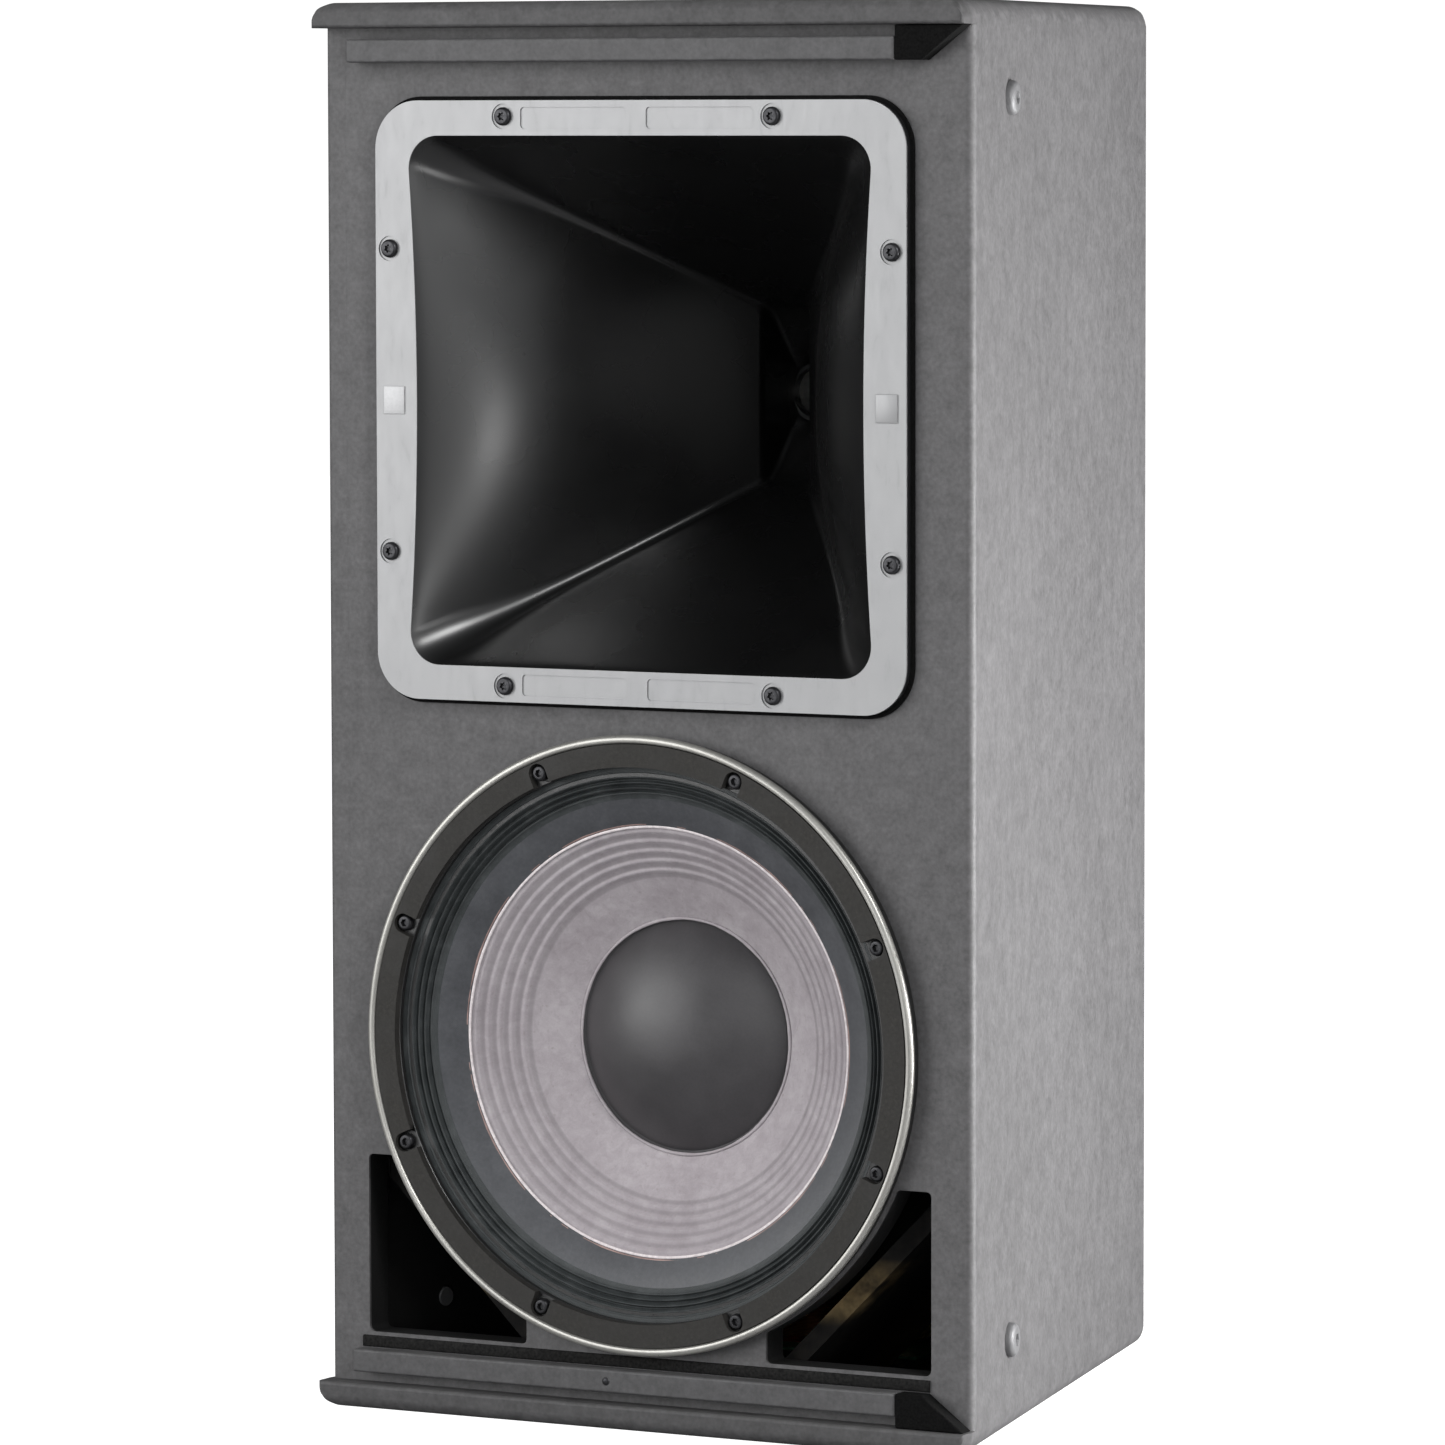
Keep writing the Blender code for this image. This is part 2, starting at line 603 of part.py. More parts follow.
def horn_waveguide():
    mesh = bpy.data.meshes.new("horn_waveguide")
    bm = bmesh.new()
    rows = [[bm.verts.new((x * MM, y * MM, z * MM)) for x, y in outline]
            for outline, z in horn_rings()]
    for row, next_row in zip(rows, rows[1:] + rows[:1]):
        for i in range(len(row)):
            j = (i + 1) % len(row)
            bm.faces.new((row[i], row[j], next_row[j], next_row[i]))
    bmesh.ops.recalc_face_normals(bm, faces=bm.faces)
    if bm.calc_volume(signed=True) < 0:
        bmesh.ops.reverse_faces(bm, faces=bm.faces)
    bm.to_mesh(mesh)
    bm.free()
    mesh.shade_smooth()
    mesh.set_sharp_from_angle(angle=math.radians(35))
    horn = place(bpy.data.objects.new("horn_waveguide", mesh), HORN_BLACK, (0, 0, HORN_Z),
                 FACE_FRONT)
    drills = [(at(x, z, 0), HORN_SCREW_CLEAR, 30.0, 8) for x, z in HORN_SCREWS]
    cut(horn, cutter_of("horn_screw_drill", drills=drills, loc=(0, 0, HORN_Z), rot=FACE_FRONT))


def horn_seal():
    outer, inner = HORN_HALF + HORN_SEAL_OUT, HORN_CUT + HORN_SEAL_IN
    loops = [rounded_rect(outer, outer, HORN_R + HORN_SEAL_OUT, 4),
             rounded_rect(inner, inner, HORN_CUT_R + HORN_SEAL_IN, 3)]
    loops += [circle(x, z, HORN_SCREW_CLEAR, 8) for x, z in HORN_SCREWS]
    flat_plate("horn_seal", loops, HORN_SEAL_T, SEAL, (0, -(GAP + HORN_SEAL_T / 2), HORN_Z),
               FACE_FRONT)


horn_waveguide()
horn_seal()
for number, (x, z) in enumerate(HORN_SCREWS, 1):
    screw(f"horn_screw_{number}", (x, -(HORN_FRONT + GAP), HORN_Z + z),
          head_r=4.6, head_h=2.6, shank_r=1.9, length=21.0)

# ---------------------------------------------------------------------------
# compression driver, stacked behind the throat along +Y
# profiles are (radius, distance behind the driver's front)
# ---------------------------------------------------------------------------
HF_FRONT_PLATE = [(THROAT_R + 0.6, 0), (60, 0), (62, 2), (62, 9), (24.5, 9), (24.5, 26), (8, 26),
                  (THROAT_R, 4)]
HF_MAGNET = [(36, 9.3), (66, 9.3), (66, 27.3), (36, 27.3)]
HF_REAR_PLATE = [(26.2, 27.6), (62, 27.6), (62, 35.6), (26.2, 35.6)]
HF_BACK_CAP = [(38, 35.9), (56, 35.9), (56, 52), (50, 60), (0, 60), (0, 56.5), (38, 56.5)]

DOME_ANGLES = (0, 21, 42, 62)  # degrees from the axis, out to the dome's edge
DOME_R, DOME_RISE = 25.0, 11.0
DIAPHRAGM_R, DIAPHRAGM_T = 30.0, 0.4
DIAPHRAGM_BACK = 36.6  # the flat rim's rear face


def hf_part(name, profile, mat, steps=24):
    turned(name, [(r, -back) for r, back in profile], mat, steps, (0, HORN_DEPTH + GAP, HORN_Z),
           FACE_FRONT)


def diaphragm_profile():
    edge = math.radians(DOME_ANGLES[-1])
    dome = []
    for degrees in DOME_ANGLES:
        a = math.radians(degrees)
        rise = DOME_RISE * (math.cos(a) - math.cos(edge)) / (1 - math.cos(edge))
        dome.append((DOME_R * math.sin(a) / math.sin(edge), DIAPHRAGM_BACK + rise))
    faces = shell(dome, DIAPHRAGM_T)
    rim = [(DIAPHRAGM_R, DIAPHRAGM_BACK), (DIAPHRAGM_R, DIAPHRAGM_BACK - DIAPHRAGM_T)]
    return faces[:len(dome)] + rim + faces[len(dome):]


hf_part("hf_front_plate", HF_FRONT_PLATE, ZINC)
hf_part("hf_magnet", HF_MAGNET, FERRITE)
hf_part("hf_rear_plate", HF_REAR_PLATE, ZINC)
hf_part("hf_diaphragm", diaphragm_profile(), TITANIUM, 16)
hf_part("hf_back_cap", HF_BACK_CAP, PLATE_BLACK)

# ---------------------------------------------------------------------------
# woofer; profiles are (radius, height), height 0 in the baffle's face and
# positive in front of it
# ---------------------------------------------------------------------------
WOOFER_AT = (0, 0, WOOFER_Z)
WOOFER_R = 154.0  # frame radius
FLANGE_TOP = 4.8
GASKET_TOP = 10.0
GASKET_R, GASKET_HOLE_R, GASKET_SCREW_R = 151.4, 139.2, 4.5

# ends of the outside line of the basket's spokes
SPOKE_REAR, SPOKE_FRONT = (88.5, -80), (137.5, -20)
BASKET = [(WOOFER_R - 1.0, GAP), (WOOFER_R, 1.2), (WOOFER_R, 3.2), (WOOFER_R - 0.8, 4.3),
          (WOOFER_R - 2.0, FLANGE_TOP), (138.9, FLANGE_TOP), (138.9, 1.0), (133.5, 1.0),
          (133.5, -16), (91, -66.8), (80, -66.8), (80, -76), (44, -76), (44, -83.7), (86, -83.7),
          SPOKE_REAR, SPOKE_FRONT, (138.5, -14), (138.5, GAP)]
BASKET_WINDOWS = 6
BASKET_WINDOW = (90, 62, 36)  # full sizes along the radius, across it and along the axis
BASKET_WINDOW_AT = (120, 0, -41)

TOP_PLATE = [(40.6, -84), (70, -84), (70, -92), (40.6, -92)]
MAGNET = [(50, -92.3), (84, -92.3), (85, -93.3), (85, -111.3), (84, -112.3), (50, -112.3)]
BACK_PLATE = [(12, -84), (37, -84), (37, -112.6), (72, -112.6), (72, -121), (68, -124),
              (14, -124), (12, -122)]
CONE_FRONT = [(122.5, -5.6), (108.0, -12.5), (58.0, -43.8), (39.6, -56.0)]
CONE_REAR_NECK = (39.6, -57.2)
SURROUND = [(138.5, 2.1), (133.0, 2.1), (122.9, -4.5), (122.9, -5.8), (132.6, 1.3), (138.5, 1.3)]
VOICE_COIL = [(38.0, -57.5), (39.2, -57.5), (39.2, -100), (38.0, -100)]
SPIDER = [(39.6, -63.6), (60, -63.9), (80, -65.2), (90.2, -65.2), (90.2, -66.4), (80, -66.4),
          (60, -65.2), (39.6, -65.0)]
CAP_R, CAP_H, CAP_Z, CAP_T = 57.5, 22.0, -42.9, 0.9  # CAP_Z is the height of its edge
CAP_STEPS = 5

SPOKE_ANGLE = math.atan2(SPOKE_FRONT[0] - SPOKE_REAR[0], SPOKE_FRONT[1] - SPOKE_REAR[1])
SPOKE_MID_R = (SPOKE_FRONT[0] + SPOKE_REAR[0]) / 2
SPOKE_MID_Y = -(SPOKE_FRONT[1] + SPOKE_REAR[1]) / 2


def woofer_part(name, profile, mat, steps=28):
    return turned(name, profile, mat, steps, WOOFER_AT, FACE_FRONT)


def woofer_basket():
    basket = woofer_part("woofer_basket", BASKET, ALUMINIUM, 48)
    drills = [(at(x, z, 2), WOOFER_SCREW_HOLE, 20.0, 8) for x, z in WOOFER_SCREWS]
    windows = []
    for i in range(BASKET_WINDOWS):
        turn = Matrix.Rotation(math.radians(360 / BASKET_WINDOWS * i), 4, "Z")
        windows.append((turn @ at(*BASKET_WINDOW_AT), BASKET_WINDOW))
    cut(basket, cutter_of("basket_drill", drills, windows, WOOFER_AT, FACE_FRONT))


def woofer_gasket():
    thick = GASKET_TOP - FLANGE_TOP - GAP
    loops = [circle(0, 0, GASKET_R, 48), circle(0, 0, GASKET_HOLE_R, 48)]
    loops += [circle(x, z, GASKET_SCREW_R, 8) for x, z in WOOFER_SCREWS]
    flat_plate("woofer_gasket", loops, thick, GASKET_PAPER,
               (0, -(GASKET_TOP - thick / 2), WOOFER_Z), FACE_FRONT)


def cone_profile():
    rear = [(r - 0.3, z - 1.3) for r, z in reversed(CONE_FRONT[:-1])]
    return CONE_FRONT + [CONE_REAR_NECK] + rear


def dust_cap_profile():
    sphere_r = (CAP_R**2 + CAP_H**2) / (2 * CAP_H)
    edge = math.asin(CAP_R / sphere_r)
    angles = [edge * i / CAP_STEPS for i in range(CAP_STEPS + 1)]
    outside = [(sphere_r * math.sin(a), CAP_Z + sphere_r * (math.cos(a) - 1) + CAP_H)
               for a in angles]
    return shell(outside, CAP_T)


def off_spoke(distance):
    """A point this far off the lowest spoke's outside, half way down it."""
    return (0, SPOKE_MID_Y + math.sin(SPOKE_ANGLE) * distance,
            WOOFER_Z - SPOKE_MID_R - math.cos(SPOKE_ANGLE) * distance)


woofer_basket()
woofer_gasket()
woofer_part("woofer_top_plate", TOP_PLATE, ZINC)
woofer_part("woofer_magnet", MAGNET, FERRITE)
woofer_part("woofer_back_plate", BACK_PLATE, ZINC)
woofer_part("woofer_cone", cone_profile(), CONE_PAPER, 36)
woofer_part("woofer_surround", SURROUND, CLOTH, 48)
woofer_part("woofer_voice_coil", VOICE_COIL, COPPER)
woofer_part("woofer_spider", SPIDER, SPIDER_CLOTH)
woofer_part("woofer_dust_cap", dust_cap_profile(), CAP_PAPER)
# the terminal block lies on the basket's lowest spoke
block("woofer_terminal", (26, 16, 6), off_spoke(3.4), TERMINAL, (math.pi + SPOKE_ANGLE, 0, 0),
      bevel=0.8)
for number, (x, z) in enumerate(WOOFER_SCREWS, 1):
    screw(f"woofer_screw_{number}", (x, -(FLANGE_TOP + GAP), WOOFER_Z + z),
          head_r=4.1, head_h=3.6, shank_r=2.2, length=26.0)

# ---------------------------------------------------------------------------
# input panel, sockets and mode switch on the back
# ---------------------------------------------------------------------------
INPUT_T = 2.0
INPUT_R = 4.0  # plate's corner radius
SOCKET_RISES = (("upper", -22.0 + 26.0), ("lower", -22.0 - 26.0))  # above the plate's centre
SOCKET_HOLE_R = 12.6
SOCKET = [(10.8, 3.0), (15.6, 3.0), (16.6, 2.0), (16.6, 0), (12.2, 0), (12.2, -26), (0, -26),
          (0, -20), (10.8, -20)]  # (radius, height)
SWITCH_RISE = 52.0  # above the plate's centre
SWITCH_SLOT_W, SWITCH_SLOT_H = 11.0, 6.0
SWITCH_SIZE = (4.0, 9.0, 3.6)
SWITCH_TRAVEL = 3.0  # the lever stands at the -X end of it
SWITCH_OUT = 1.5  # lever's centre behind the back face


def input_plate():
    loops = [rounded_rect(INPUT_W / 2, INPUT_H / 2, INPUT_R, 3)]
    loops += [circle(0, rise, SOCKET_HOLE_R, 20) for _, rise in SOCKET_RISES]
    loops.append(rectangle(SWITCH_SLOT_W / 2, SWITCH_RISE - SWITCH_SLOT_H / 2,
                           SWITCH_RISE + SWITCH_SLOT_H / 2))
    flat_plate("input_plate", loops, INPUT_T, PLATE_BLACK,
               (0, DEPTH + GAP + INPUT_T / 2, INPUT_Z), FACE_BACK)


input_plate()
for place_name, rise in SOCKET_RISES:
    turned(f"{place_name}_speaker_socket", SOCKET, SOCKET_BLUE, 20,
           (0, DEPTH + INPUT_T + 2 * GAP, INPUT_Z + rise), FACE_BACK)
block("mode_switch", SWITCH_SIZE, (-SWITCH_TRAVEL / 2, DEPTH + SWITCH_OUT, INPUT_Z + SWITCH_RISE),
      SWITCH_GREY, bevel=0.4)

# ---------------------------------------------------------------------------
# crossover on the cabinet floor, and the leads to the drivers
# ---------------------------------------------------------------------------
BOARD_T = 1.6
BOARD_Z = PANEL + GAP + BOARD_T / 2
BOARD_TOP = BOARD_Z + BOARD_T / 2 + GAP  # where the parts on it stand
INDUCTOR = [(8, 0), (24, 0), (24, 2), (22, 2), (22, 18), (24, 18), (24, 20), (8, 20)]
CAPACITOR = [(0, 22), (11, 22), (12, 21), (12, -21), (11, -22), (0, -22)]
LEAD_R = 1.8
LEAD_START_Z = BOARD_Z + 3.2
# (x, y, z) points that the leads pass through
WOOFER_LEAD = [(0, 200, LEAD_START_Z), (0, 160, 24), (0, 105, 34), off_spoke(34), off_spoke(20)]
WOOFER_LEAD_END = off_spoke(7.2)  # reached in a straight line
HF_LEAD = [(44, 276, LEAD_START_Z), (52, 300, 60), (50, 285, 200), (48, 255, 350),
           (46, 262, 455), (44, 251, 500)]


def lead(name, points, mat):
    """A round lead with closed ends: a curve through points."""
    curve = bpy.data.curves.new(name, "CURVE")
    curve.dimensions = "3D"
    curve.bevel_depth = LEAD_R * MM
    curve.bevel_resolution = 1
    curve.use_fill_caps = True
    line = curve.splines.new("POLY")
    line.points.add(len(points) - 1)
    for point, co in zip(line.points, points):
        point.co = (*(Vector(co) * MM), 1)
    place(bpy.data.objects.new(name, curve), mat)


def bend(points, steps=4):
    """A smooth run through points (Catmull-Rom)."""
    run = []
    padded = [points[0], *points, points[-1]]
    for i in range(len(points) - 1):
        p0, p1, p2, p3 = (Vector(point) for point in padded[i:i + 4])
        for step in range(steps):
            t = step / steps
            run.append(0.5 * (2 * p1 + (p2 - p0) * t + (2 * p0 - 5 * p1 + 4 * p2 - p3) * t * t
                              + (3 * p1 - p0 - 3 * p2 + p3) * t**3))
    run.append(Vector(points[-1]))
    return run


block("crossover_board", (110, 96, BOARD_T), (0, 236, BOARD_Z), BOARD)
turned("crossover_inductor", INDUCTOR, COPPER, 18, (-24, 230, BOARD_TOP))
turned("crossover_capacitor", CAPACITOR, FILM, 14, (30, 236, BOARD_TOP + 12.1), FACE_FRONT)
lead("woofer_lead", bend(WOOFER_LEAD) + [WOOFER_LEAD_END], LEAD_RED)
lead("hf_lead", bend(HF_LEAD), LEAD_BLACK)
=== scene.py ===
"""A loudspeaker: a square horn above a round woofer, with two vents low in the baffle.

The box stands upright and faces -Y. x = 0 is its middle, y = 0 the front face of the baffle,
and its sides draw in towards the back. Lengths are in millimetres until they reach Blender.
"""
import math
from contextlib import contextmanager

import bmesh
import bpy
import numpy as np
from mathutils import Matrix, Vector


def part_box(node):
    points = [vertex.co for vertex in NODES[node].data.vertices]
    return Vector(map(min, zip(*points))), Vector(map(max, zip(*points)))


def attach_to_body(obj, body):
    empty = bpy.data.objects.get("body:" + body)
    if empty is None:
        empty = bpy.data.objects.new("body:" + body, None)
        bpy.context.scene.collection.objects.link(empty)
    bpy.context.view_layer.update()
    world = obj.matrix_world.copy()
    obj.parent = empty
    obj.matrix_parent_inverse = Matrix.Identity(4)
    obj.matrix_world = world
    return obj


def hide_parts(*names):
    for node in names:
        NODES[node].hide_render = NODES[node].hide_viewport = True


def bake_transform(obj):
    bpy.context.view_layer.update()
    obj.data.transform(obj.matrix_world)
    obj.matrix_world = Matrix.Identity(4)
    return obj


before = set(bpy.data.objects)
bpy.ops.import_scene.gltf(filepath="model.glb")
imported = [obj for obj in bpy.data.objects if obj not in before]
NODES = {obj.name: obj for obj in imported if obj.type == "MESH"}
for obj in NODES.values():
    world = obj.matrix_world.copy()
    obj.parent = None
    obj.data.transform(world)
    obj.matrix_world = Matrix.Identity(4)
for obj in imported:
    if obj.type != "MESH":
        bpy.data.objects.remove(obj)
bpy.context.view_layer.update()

MM = 0.001
SCENE = bpy.context.scene
SIDES = ((1, "right"), (-1, "left"))


# ---------------------------------------------------------------------------
# Measures of the frame's pieces
# ---------------------------------------------------------------------------
def box(node):
    low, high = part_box(node)
    return Vector(low) / MM, Vector(high) / MM


def size_and_middle(node):
    low, high = box(node)
    return high - low, (low + high) / 2


def screw_places(prefix, axis_z):
    """x and height above the axis of a driver's eight screws."""
    middles = [size_and_middle(f"{prefix}_{i + 1}")[1] for i in range(8)]
    return [(middle.x, middle.z - axis_z) for middle in middles]


TOP_LO, TOP_HI = box("top_panel")
BOT_LO, BOT_HI = box("bottom_panel")
HALF_WIDTH, LIP_Y, DEPTH, HEIGHT = TOP_HI.x, TOP_LO.y, TOP_HI.y, TOP_HI.z
PANEL = BOT_HI.z - BOT_LO.z
WALL_LOW, WALL_HIGH = BOT_HI.z, TOP_LO.z

# the outward normal of the right side panel gives the taper
side_face = max((face for face in NODES["right_side_panel"].data.polygons if face.normal.x > 0.9),
                key=lambda face: face.area)
normal_length = math.hypot(side_face.normal.x, side_face.normal.y)
OUT_X = side_face.normal.x / normal_length
OUT_Y = side_face.normal.y / normal_length
SLOPE = OUT_Y / OUT_X  # inward run of a side per mm of depth
TAPER = math.atan2(OUT_Y, OUT_X)
BACK_HALF = HALF_WIDTH - SLOPE * DEPTH
PANEL_X = PANEL / OUT_X  # a side panel's thickness measured along x
BAFFLE_LO, BAFFLE_HI = box("front_baffle")
BAFFLE_T = BAFFLE_HI.y - BAFFLE_LO.y

HORN_SIZE, HORN_MIDDLE = size_and_middle("horn_waveguide")
HORN_LO, HORN_HI = box("horn_waveguide")
HORN_Z, HORN_HALF = HORN_MIDDLE.z, HORN_SIZE.x / 2
FACE_Y, HORN_DEPTH = HORN_LO.y, HORN_HI.y
HORN_SCREWS = screw_places("horn_screw", HORN_Z)
HORN_SCALE = HORN_HALF / 150.0

RIM_SIZE, RIM_MIDDLE = size_and_middle("woofer_basket")
WOOFER_Z, WOOFER_R = RIM_MIDDLE.z, RIM_SIZE.x / 2
WOOFER_SCREWS = screw_places("woofer_screw", WOOFER_Z)
GASKET_LO, GASKET_HI = box("woofer_gasket")
GASKET_R = (GASKET_HI.x - GASKET_LO.x) / 2
CAP_LO, CAP_HI = box("woofer_dust_cap")
CAP_R = (CAP_HI.x - CAP_LO.x) / 2

RIB_OUTER_R, RIB_PITCH = 105.3, 5.1  # pressed rings of the paper cone


def inner_half(y):
    """Half the inside width of the box at a depth."""
    return HALF_WIDTH - SLOPE * max(y, 0.0) - PANEL_X


# ---------------------------------------------------------------------------
# Shader building
# ---------------------------------------------------------------------------
def operator(operation, swapped=False):
    def apply(self, other=0.5):
        pair = (other, self) if swapped else (self, other)
        return self.shader.math(operation, *pair)
    return apply


class Signal:
    """An output socket that takes arithmetic; each operation adds a node."""

    def __init__(self, shader, socket):
        self.shader, self.socket = shader, socket

    __add__ = operator("ADD")
    __sub__ = operator("SUBTRACT")
    __rsub__ = operator("SUBTRACT", swapped=True)
    __mul__ = operator("MULTIPLY")
    __gt__ = operator("GREATER_THAN")
    __lt__ = operator("LESS_THAN")
    __abs__ = operator("ABSOLUTE")
    sine = operator("SINE")
    cosine = operator("COSINE")

    def fade(self, start, end, low=0.0, high=1.0):
        """Runs from low, where the signal is at start, to high, where it is at end."""
        return self.shader.node("MapRange", {
            "Value": self, "From Min": start, "From Max": end, "To Min": low, "To Max": high})

    def within(self, low, high):
        """1 where the signal, in metres, lies between low and high mm."""
        return (self > low * MM) * (self < high * MM)


class Shader:
    """A node tree and short ways to fill it."""

    def __init__(self, owner, clear=False):
        owner.use_nodes = True
        self.tree = owner.node_tree
        if clear:
            self.tree.nodes.clear()

    def put(self, socket, value):
        if isinstance(value, Signal):
            self.tree.links.new(value.socket, socket)
        elif isinstance(value, tuple) and socket.type == "RGBA":
            socket.default_value = (*value, 1.0)
        else:
            socket.default_value = value

    def node(self, kind, inputs, output=0, **settings):
        node = self.tree.nodes.new("ShaderNode" + kind)
        for key, value in settings.items():
            setattr(node, key, value)
        for key, value in inputs.items():
            self.put(node.inputs[key], value)
        return Signal(self, node.outputs[output])

    def output(self, kind, surface):
        self.put(self.tree.nodes.new("ShaderNodeOutput" + kind).inputs["Surface"], surface)

    def math(self, operation, first, second):
        return self.node("Math", {0: first, 1: second}, operation=operation)

    def split(self, vector):
        x = self.node("SeparateXYZ", {0: vector})
        return [Signal(self, socket) for socket in x.socket.node.outputs]


class Finish(Shader):
    """A Principled material. Texture scales are per metre, bump depths in mm."""

    def __init__(self, name, rough=0.5, metal=0.0, specular=0.5):
        self.material = bpy.data.materials.new(name)
        super().__init__(self.material)
        self.surface = self.tree.nodes["Principled BSDF"].inputs
        self.surface["Roughness"].default_value = rough
        self.surface["Metallic"].default_value = metal
        self.surface["Specular IOR Level"].default_value = specular
        self.position = self.node("TexCoord", {}, "Object")
        self.normal = None

    def stretch(self, x, y, z):
        return self.node("Mapping", {"Vector": self.position, "Scale": (x, y, z)})

    def noise(self, scale, detail=2.0, rough=0.5, vector=None, warp=0.0):
        return self.node("TexNoise", {
            "Vector": vector or self.position, "Scale": scale, "Detail": detail,
            "Roughness": rough, "Distortion": warp})

    def cells(self, scale, smooth=None):
        inputs = {"Vector": self.position, "Scale": scale}
        if smooth is None:
            return self.node("TexVoronoi", inputs, "Distance", feature="F1")
        inputs["Smoothness"] = smooth
        return self.node("TexVoronoi", inputs, "Distance", feature="SMOOTH_F1")

    def wave(self, scale, direction, vector=None, warp=0.0, detail=0.0, detail_scale=1.0):
        return self.node("TexWave", {
            "Vector": vector or self.position, "Scale": scale, "Distortion": warp,
            "Detail": detail, "Detail Scale": detail_scale}, "Fac", bands_direction=direction)

    def ramp(self, signal, *stops):
        """A colour ramp through (position, colour) stops."""
        color = self.node("ValToRGB", {"Fac": signal})
        elements = color.socket.node.color_ramp.elements
        for element, (place, tint) in zip(elements, (stops[0], stops[-1])):
            element.position, element.color = place, (*tint, 1)
        for place, tint in stops[1:-1]:
            elements.new(place).color = (*tint, 1)
        return color

    def tones(self, signal, dark, light):
        """Two colours over the middle range of a noise."""
        return self.ramp(signal, (0.3, dark), (0.7, light))

    def mix(self, first, second, amount):
        return self.node("Mix", {"Factor": amount, 6: first, 7: second}, 2, data_type="RGBA")

    def xyz(self):
        return self.split(self.position)

    def woofer_radius(self):
        """Distance from the woofer's axis, in metres."""
        x, _, z = self.xyz()
        rise = z - WOOFER_Z * MM
        return self.math("SQRT", x * x + rise * rise, 0.0)

    def weave(self, pitch):
        """Cloth whose threads run round the woofer's axis and away from it."""
        radius = self.woofer_radius()
        x, _, z = self.xyz()
        angle = self.math("ARCTAN2", z - WOOFER_Z * MM, x)
        around = (radius * (2 * math.pi / (pitch * MM))).sine()
        return around * (angle * round(2 * math.pi * 130 / pitch)).sine()

    def facing_up(self):
        return self.split(self.node("NewGeometry", {}, "Normal"))[2]

    def color(self, value):
        self.put(self.surface["Base Color"], value)

    def metal(self, value):
        self.put(self.surface["Metallic"], value)

    def rough(self, signal, low, high):
        """Roughness from low to high over the middle range of a noise."""
        self.put(self.surface["Roughness"], signal.fade(0.3, 0.7, low, high))

    def bump(self, height, strength, depth):
        """Each call goes on top of the one before."""
        inputs = {"Strength": strength, "Distance": depth * MM, "Height": height}
        if self.normal is not None:
            inputs["Normal"] = self.normal
        self.normal = self.node("Bump", inputs)
        self.put(self.surface["Normal"], self.normal)


def grey(value):
    return (value, value, value)


# ---------------------------------------------------------------------------
# Cabinet finishes
# ---------------------------------------------------------------------------
def painted_shade_inside(mat):
    """1 on the faces that look into the box."""
    x, y, z = mat.xyz()
    half = (HALF_WIDTH - PANEL_X / 2) * MM - y * SLOPE
    middle = y.within(1.6, DEPTH - PANEL / 2) * z.within(PANEL / 2, HEIGHT - PANEL / 2)
    return middle * (abs(x) < half)


def pebbled_paint(name, dark, light, rough, depth):
    mat = Finish(name, specular=0.35)
    pebbles = mat.cells(430, smooth=0.8)
    fine = mat.noise(1250, detail=3, rough=0.6)
    medium = mat.noise(420, rough=0.55)
    blotches = mat.noise(110, detail=3, rough=0.55)
    clouds = mat.noise(7, detail=3, rough=0.55)
    mat.bump(pebbles * 0.9 + medium * 0.75, strength=0.6, depth=depth)
    mat.bump(fine, strength=0.25, depth=depth * 0.3)
    tone = medium * 0.36 + (blotches * 0.34 + (clouds * 0.16 + fine * 0.14))
    between = tuple((a + b) / 2 for a, b in zip(dark, light))
    base = mat.ramp(tone, (0.36, dark), (0.5, between), (0.64, light))
    # rounded edges, whose normals lie between upright and level, are rubbed lighter in places
    tilt = abs(mat.facing_up())
    rounded = (tilt * (1.0 - tilt)).fade(0.06, 0.2)
    worn = rounded * mat.noise(160, detail=3, rough=0.6).fade(0.46, 0.66)
    base = mat.mix(base, tuple(min(1.0, c * 1.6) for c in light), worn * 0.3)
    # the lips in front of the baffle are darker
    lip = mat.xyz()[1].fade(-2.5 * MM, -1.0 * MM, low=0.36, high=0.0)
    base = mat.mix(base, grey(0.012), lip)
    # dust lies a little lighter on faces that look up
    patches = mat.noise(22, detail=4, rough=0.6).fade(0.3, 0.75)
    dust = mat.facing_up().fade(0.3, 1.0) * patches
    base = mat.mix(base, (0.22, 0.22, 0.215), dust * 0.22)
    # the faces inside the box, the cut walls of the baffle's openings among them, are painted
    # near-black: painted shade
    mat.color(mat.mix(base, grey(0.006), painted_shade_inside(mat) * 0.985))
    mat.rough(fine * 0.5 + mat.noise(40) * 0.5, *rough)
    return mat.material


def bare_plywood():
    mat = Finish("bare_plywood", specular=0.35)
    along = mat.stretch(1, 0.06, 1)
    grain = mat.noise(90, detail=5, rough=0.62, vector=along, warp=0.4)
    pores = mat.noise(900, rough=0.6, vector=mat.stretch(1, 0.036, 1))
    plies = mat.wave(70, "DIAGONAL", vector=along, warp=2.0, detail=2, detail_scale=1.5)
    wood = mat.ramp(grain * 0.7 + plies * 0.3, (0.25, (0.30, 0.185, 0.09)),
                    (0.5, (0.46, 0.31, 0.165)), (0.78, (0.58, 0.42, 0.25)))
    mat.color(mat.mix(wood, (0.16, 0.09, 0.04), pores.fade(0.55, 0.75) * 0.35))
    mat.rough(grain, low=0.62, high=0.8)
    mat.bump(grain + pores * 0.5, strength=0.35, depth=0.2)
    return mat.material


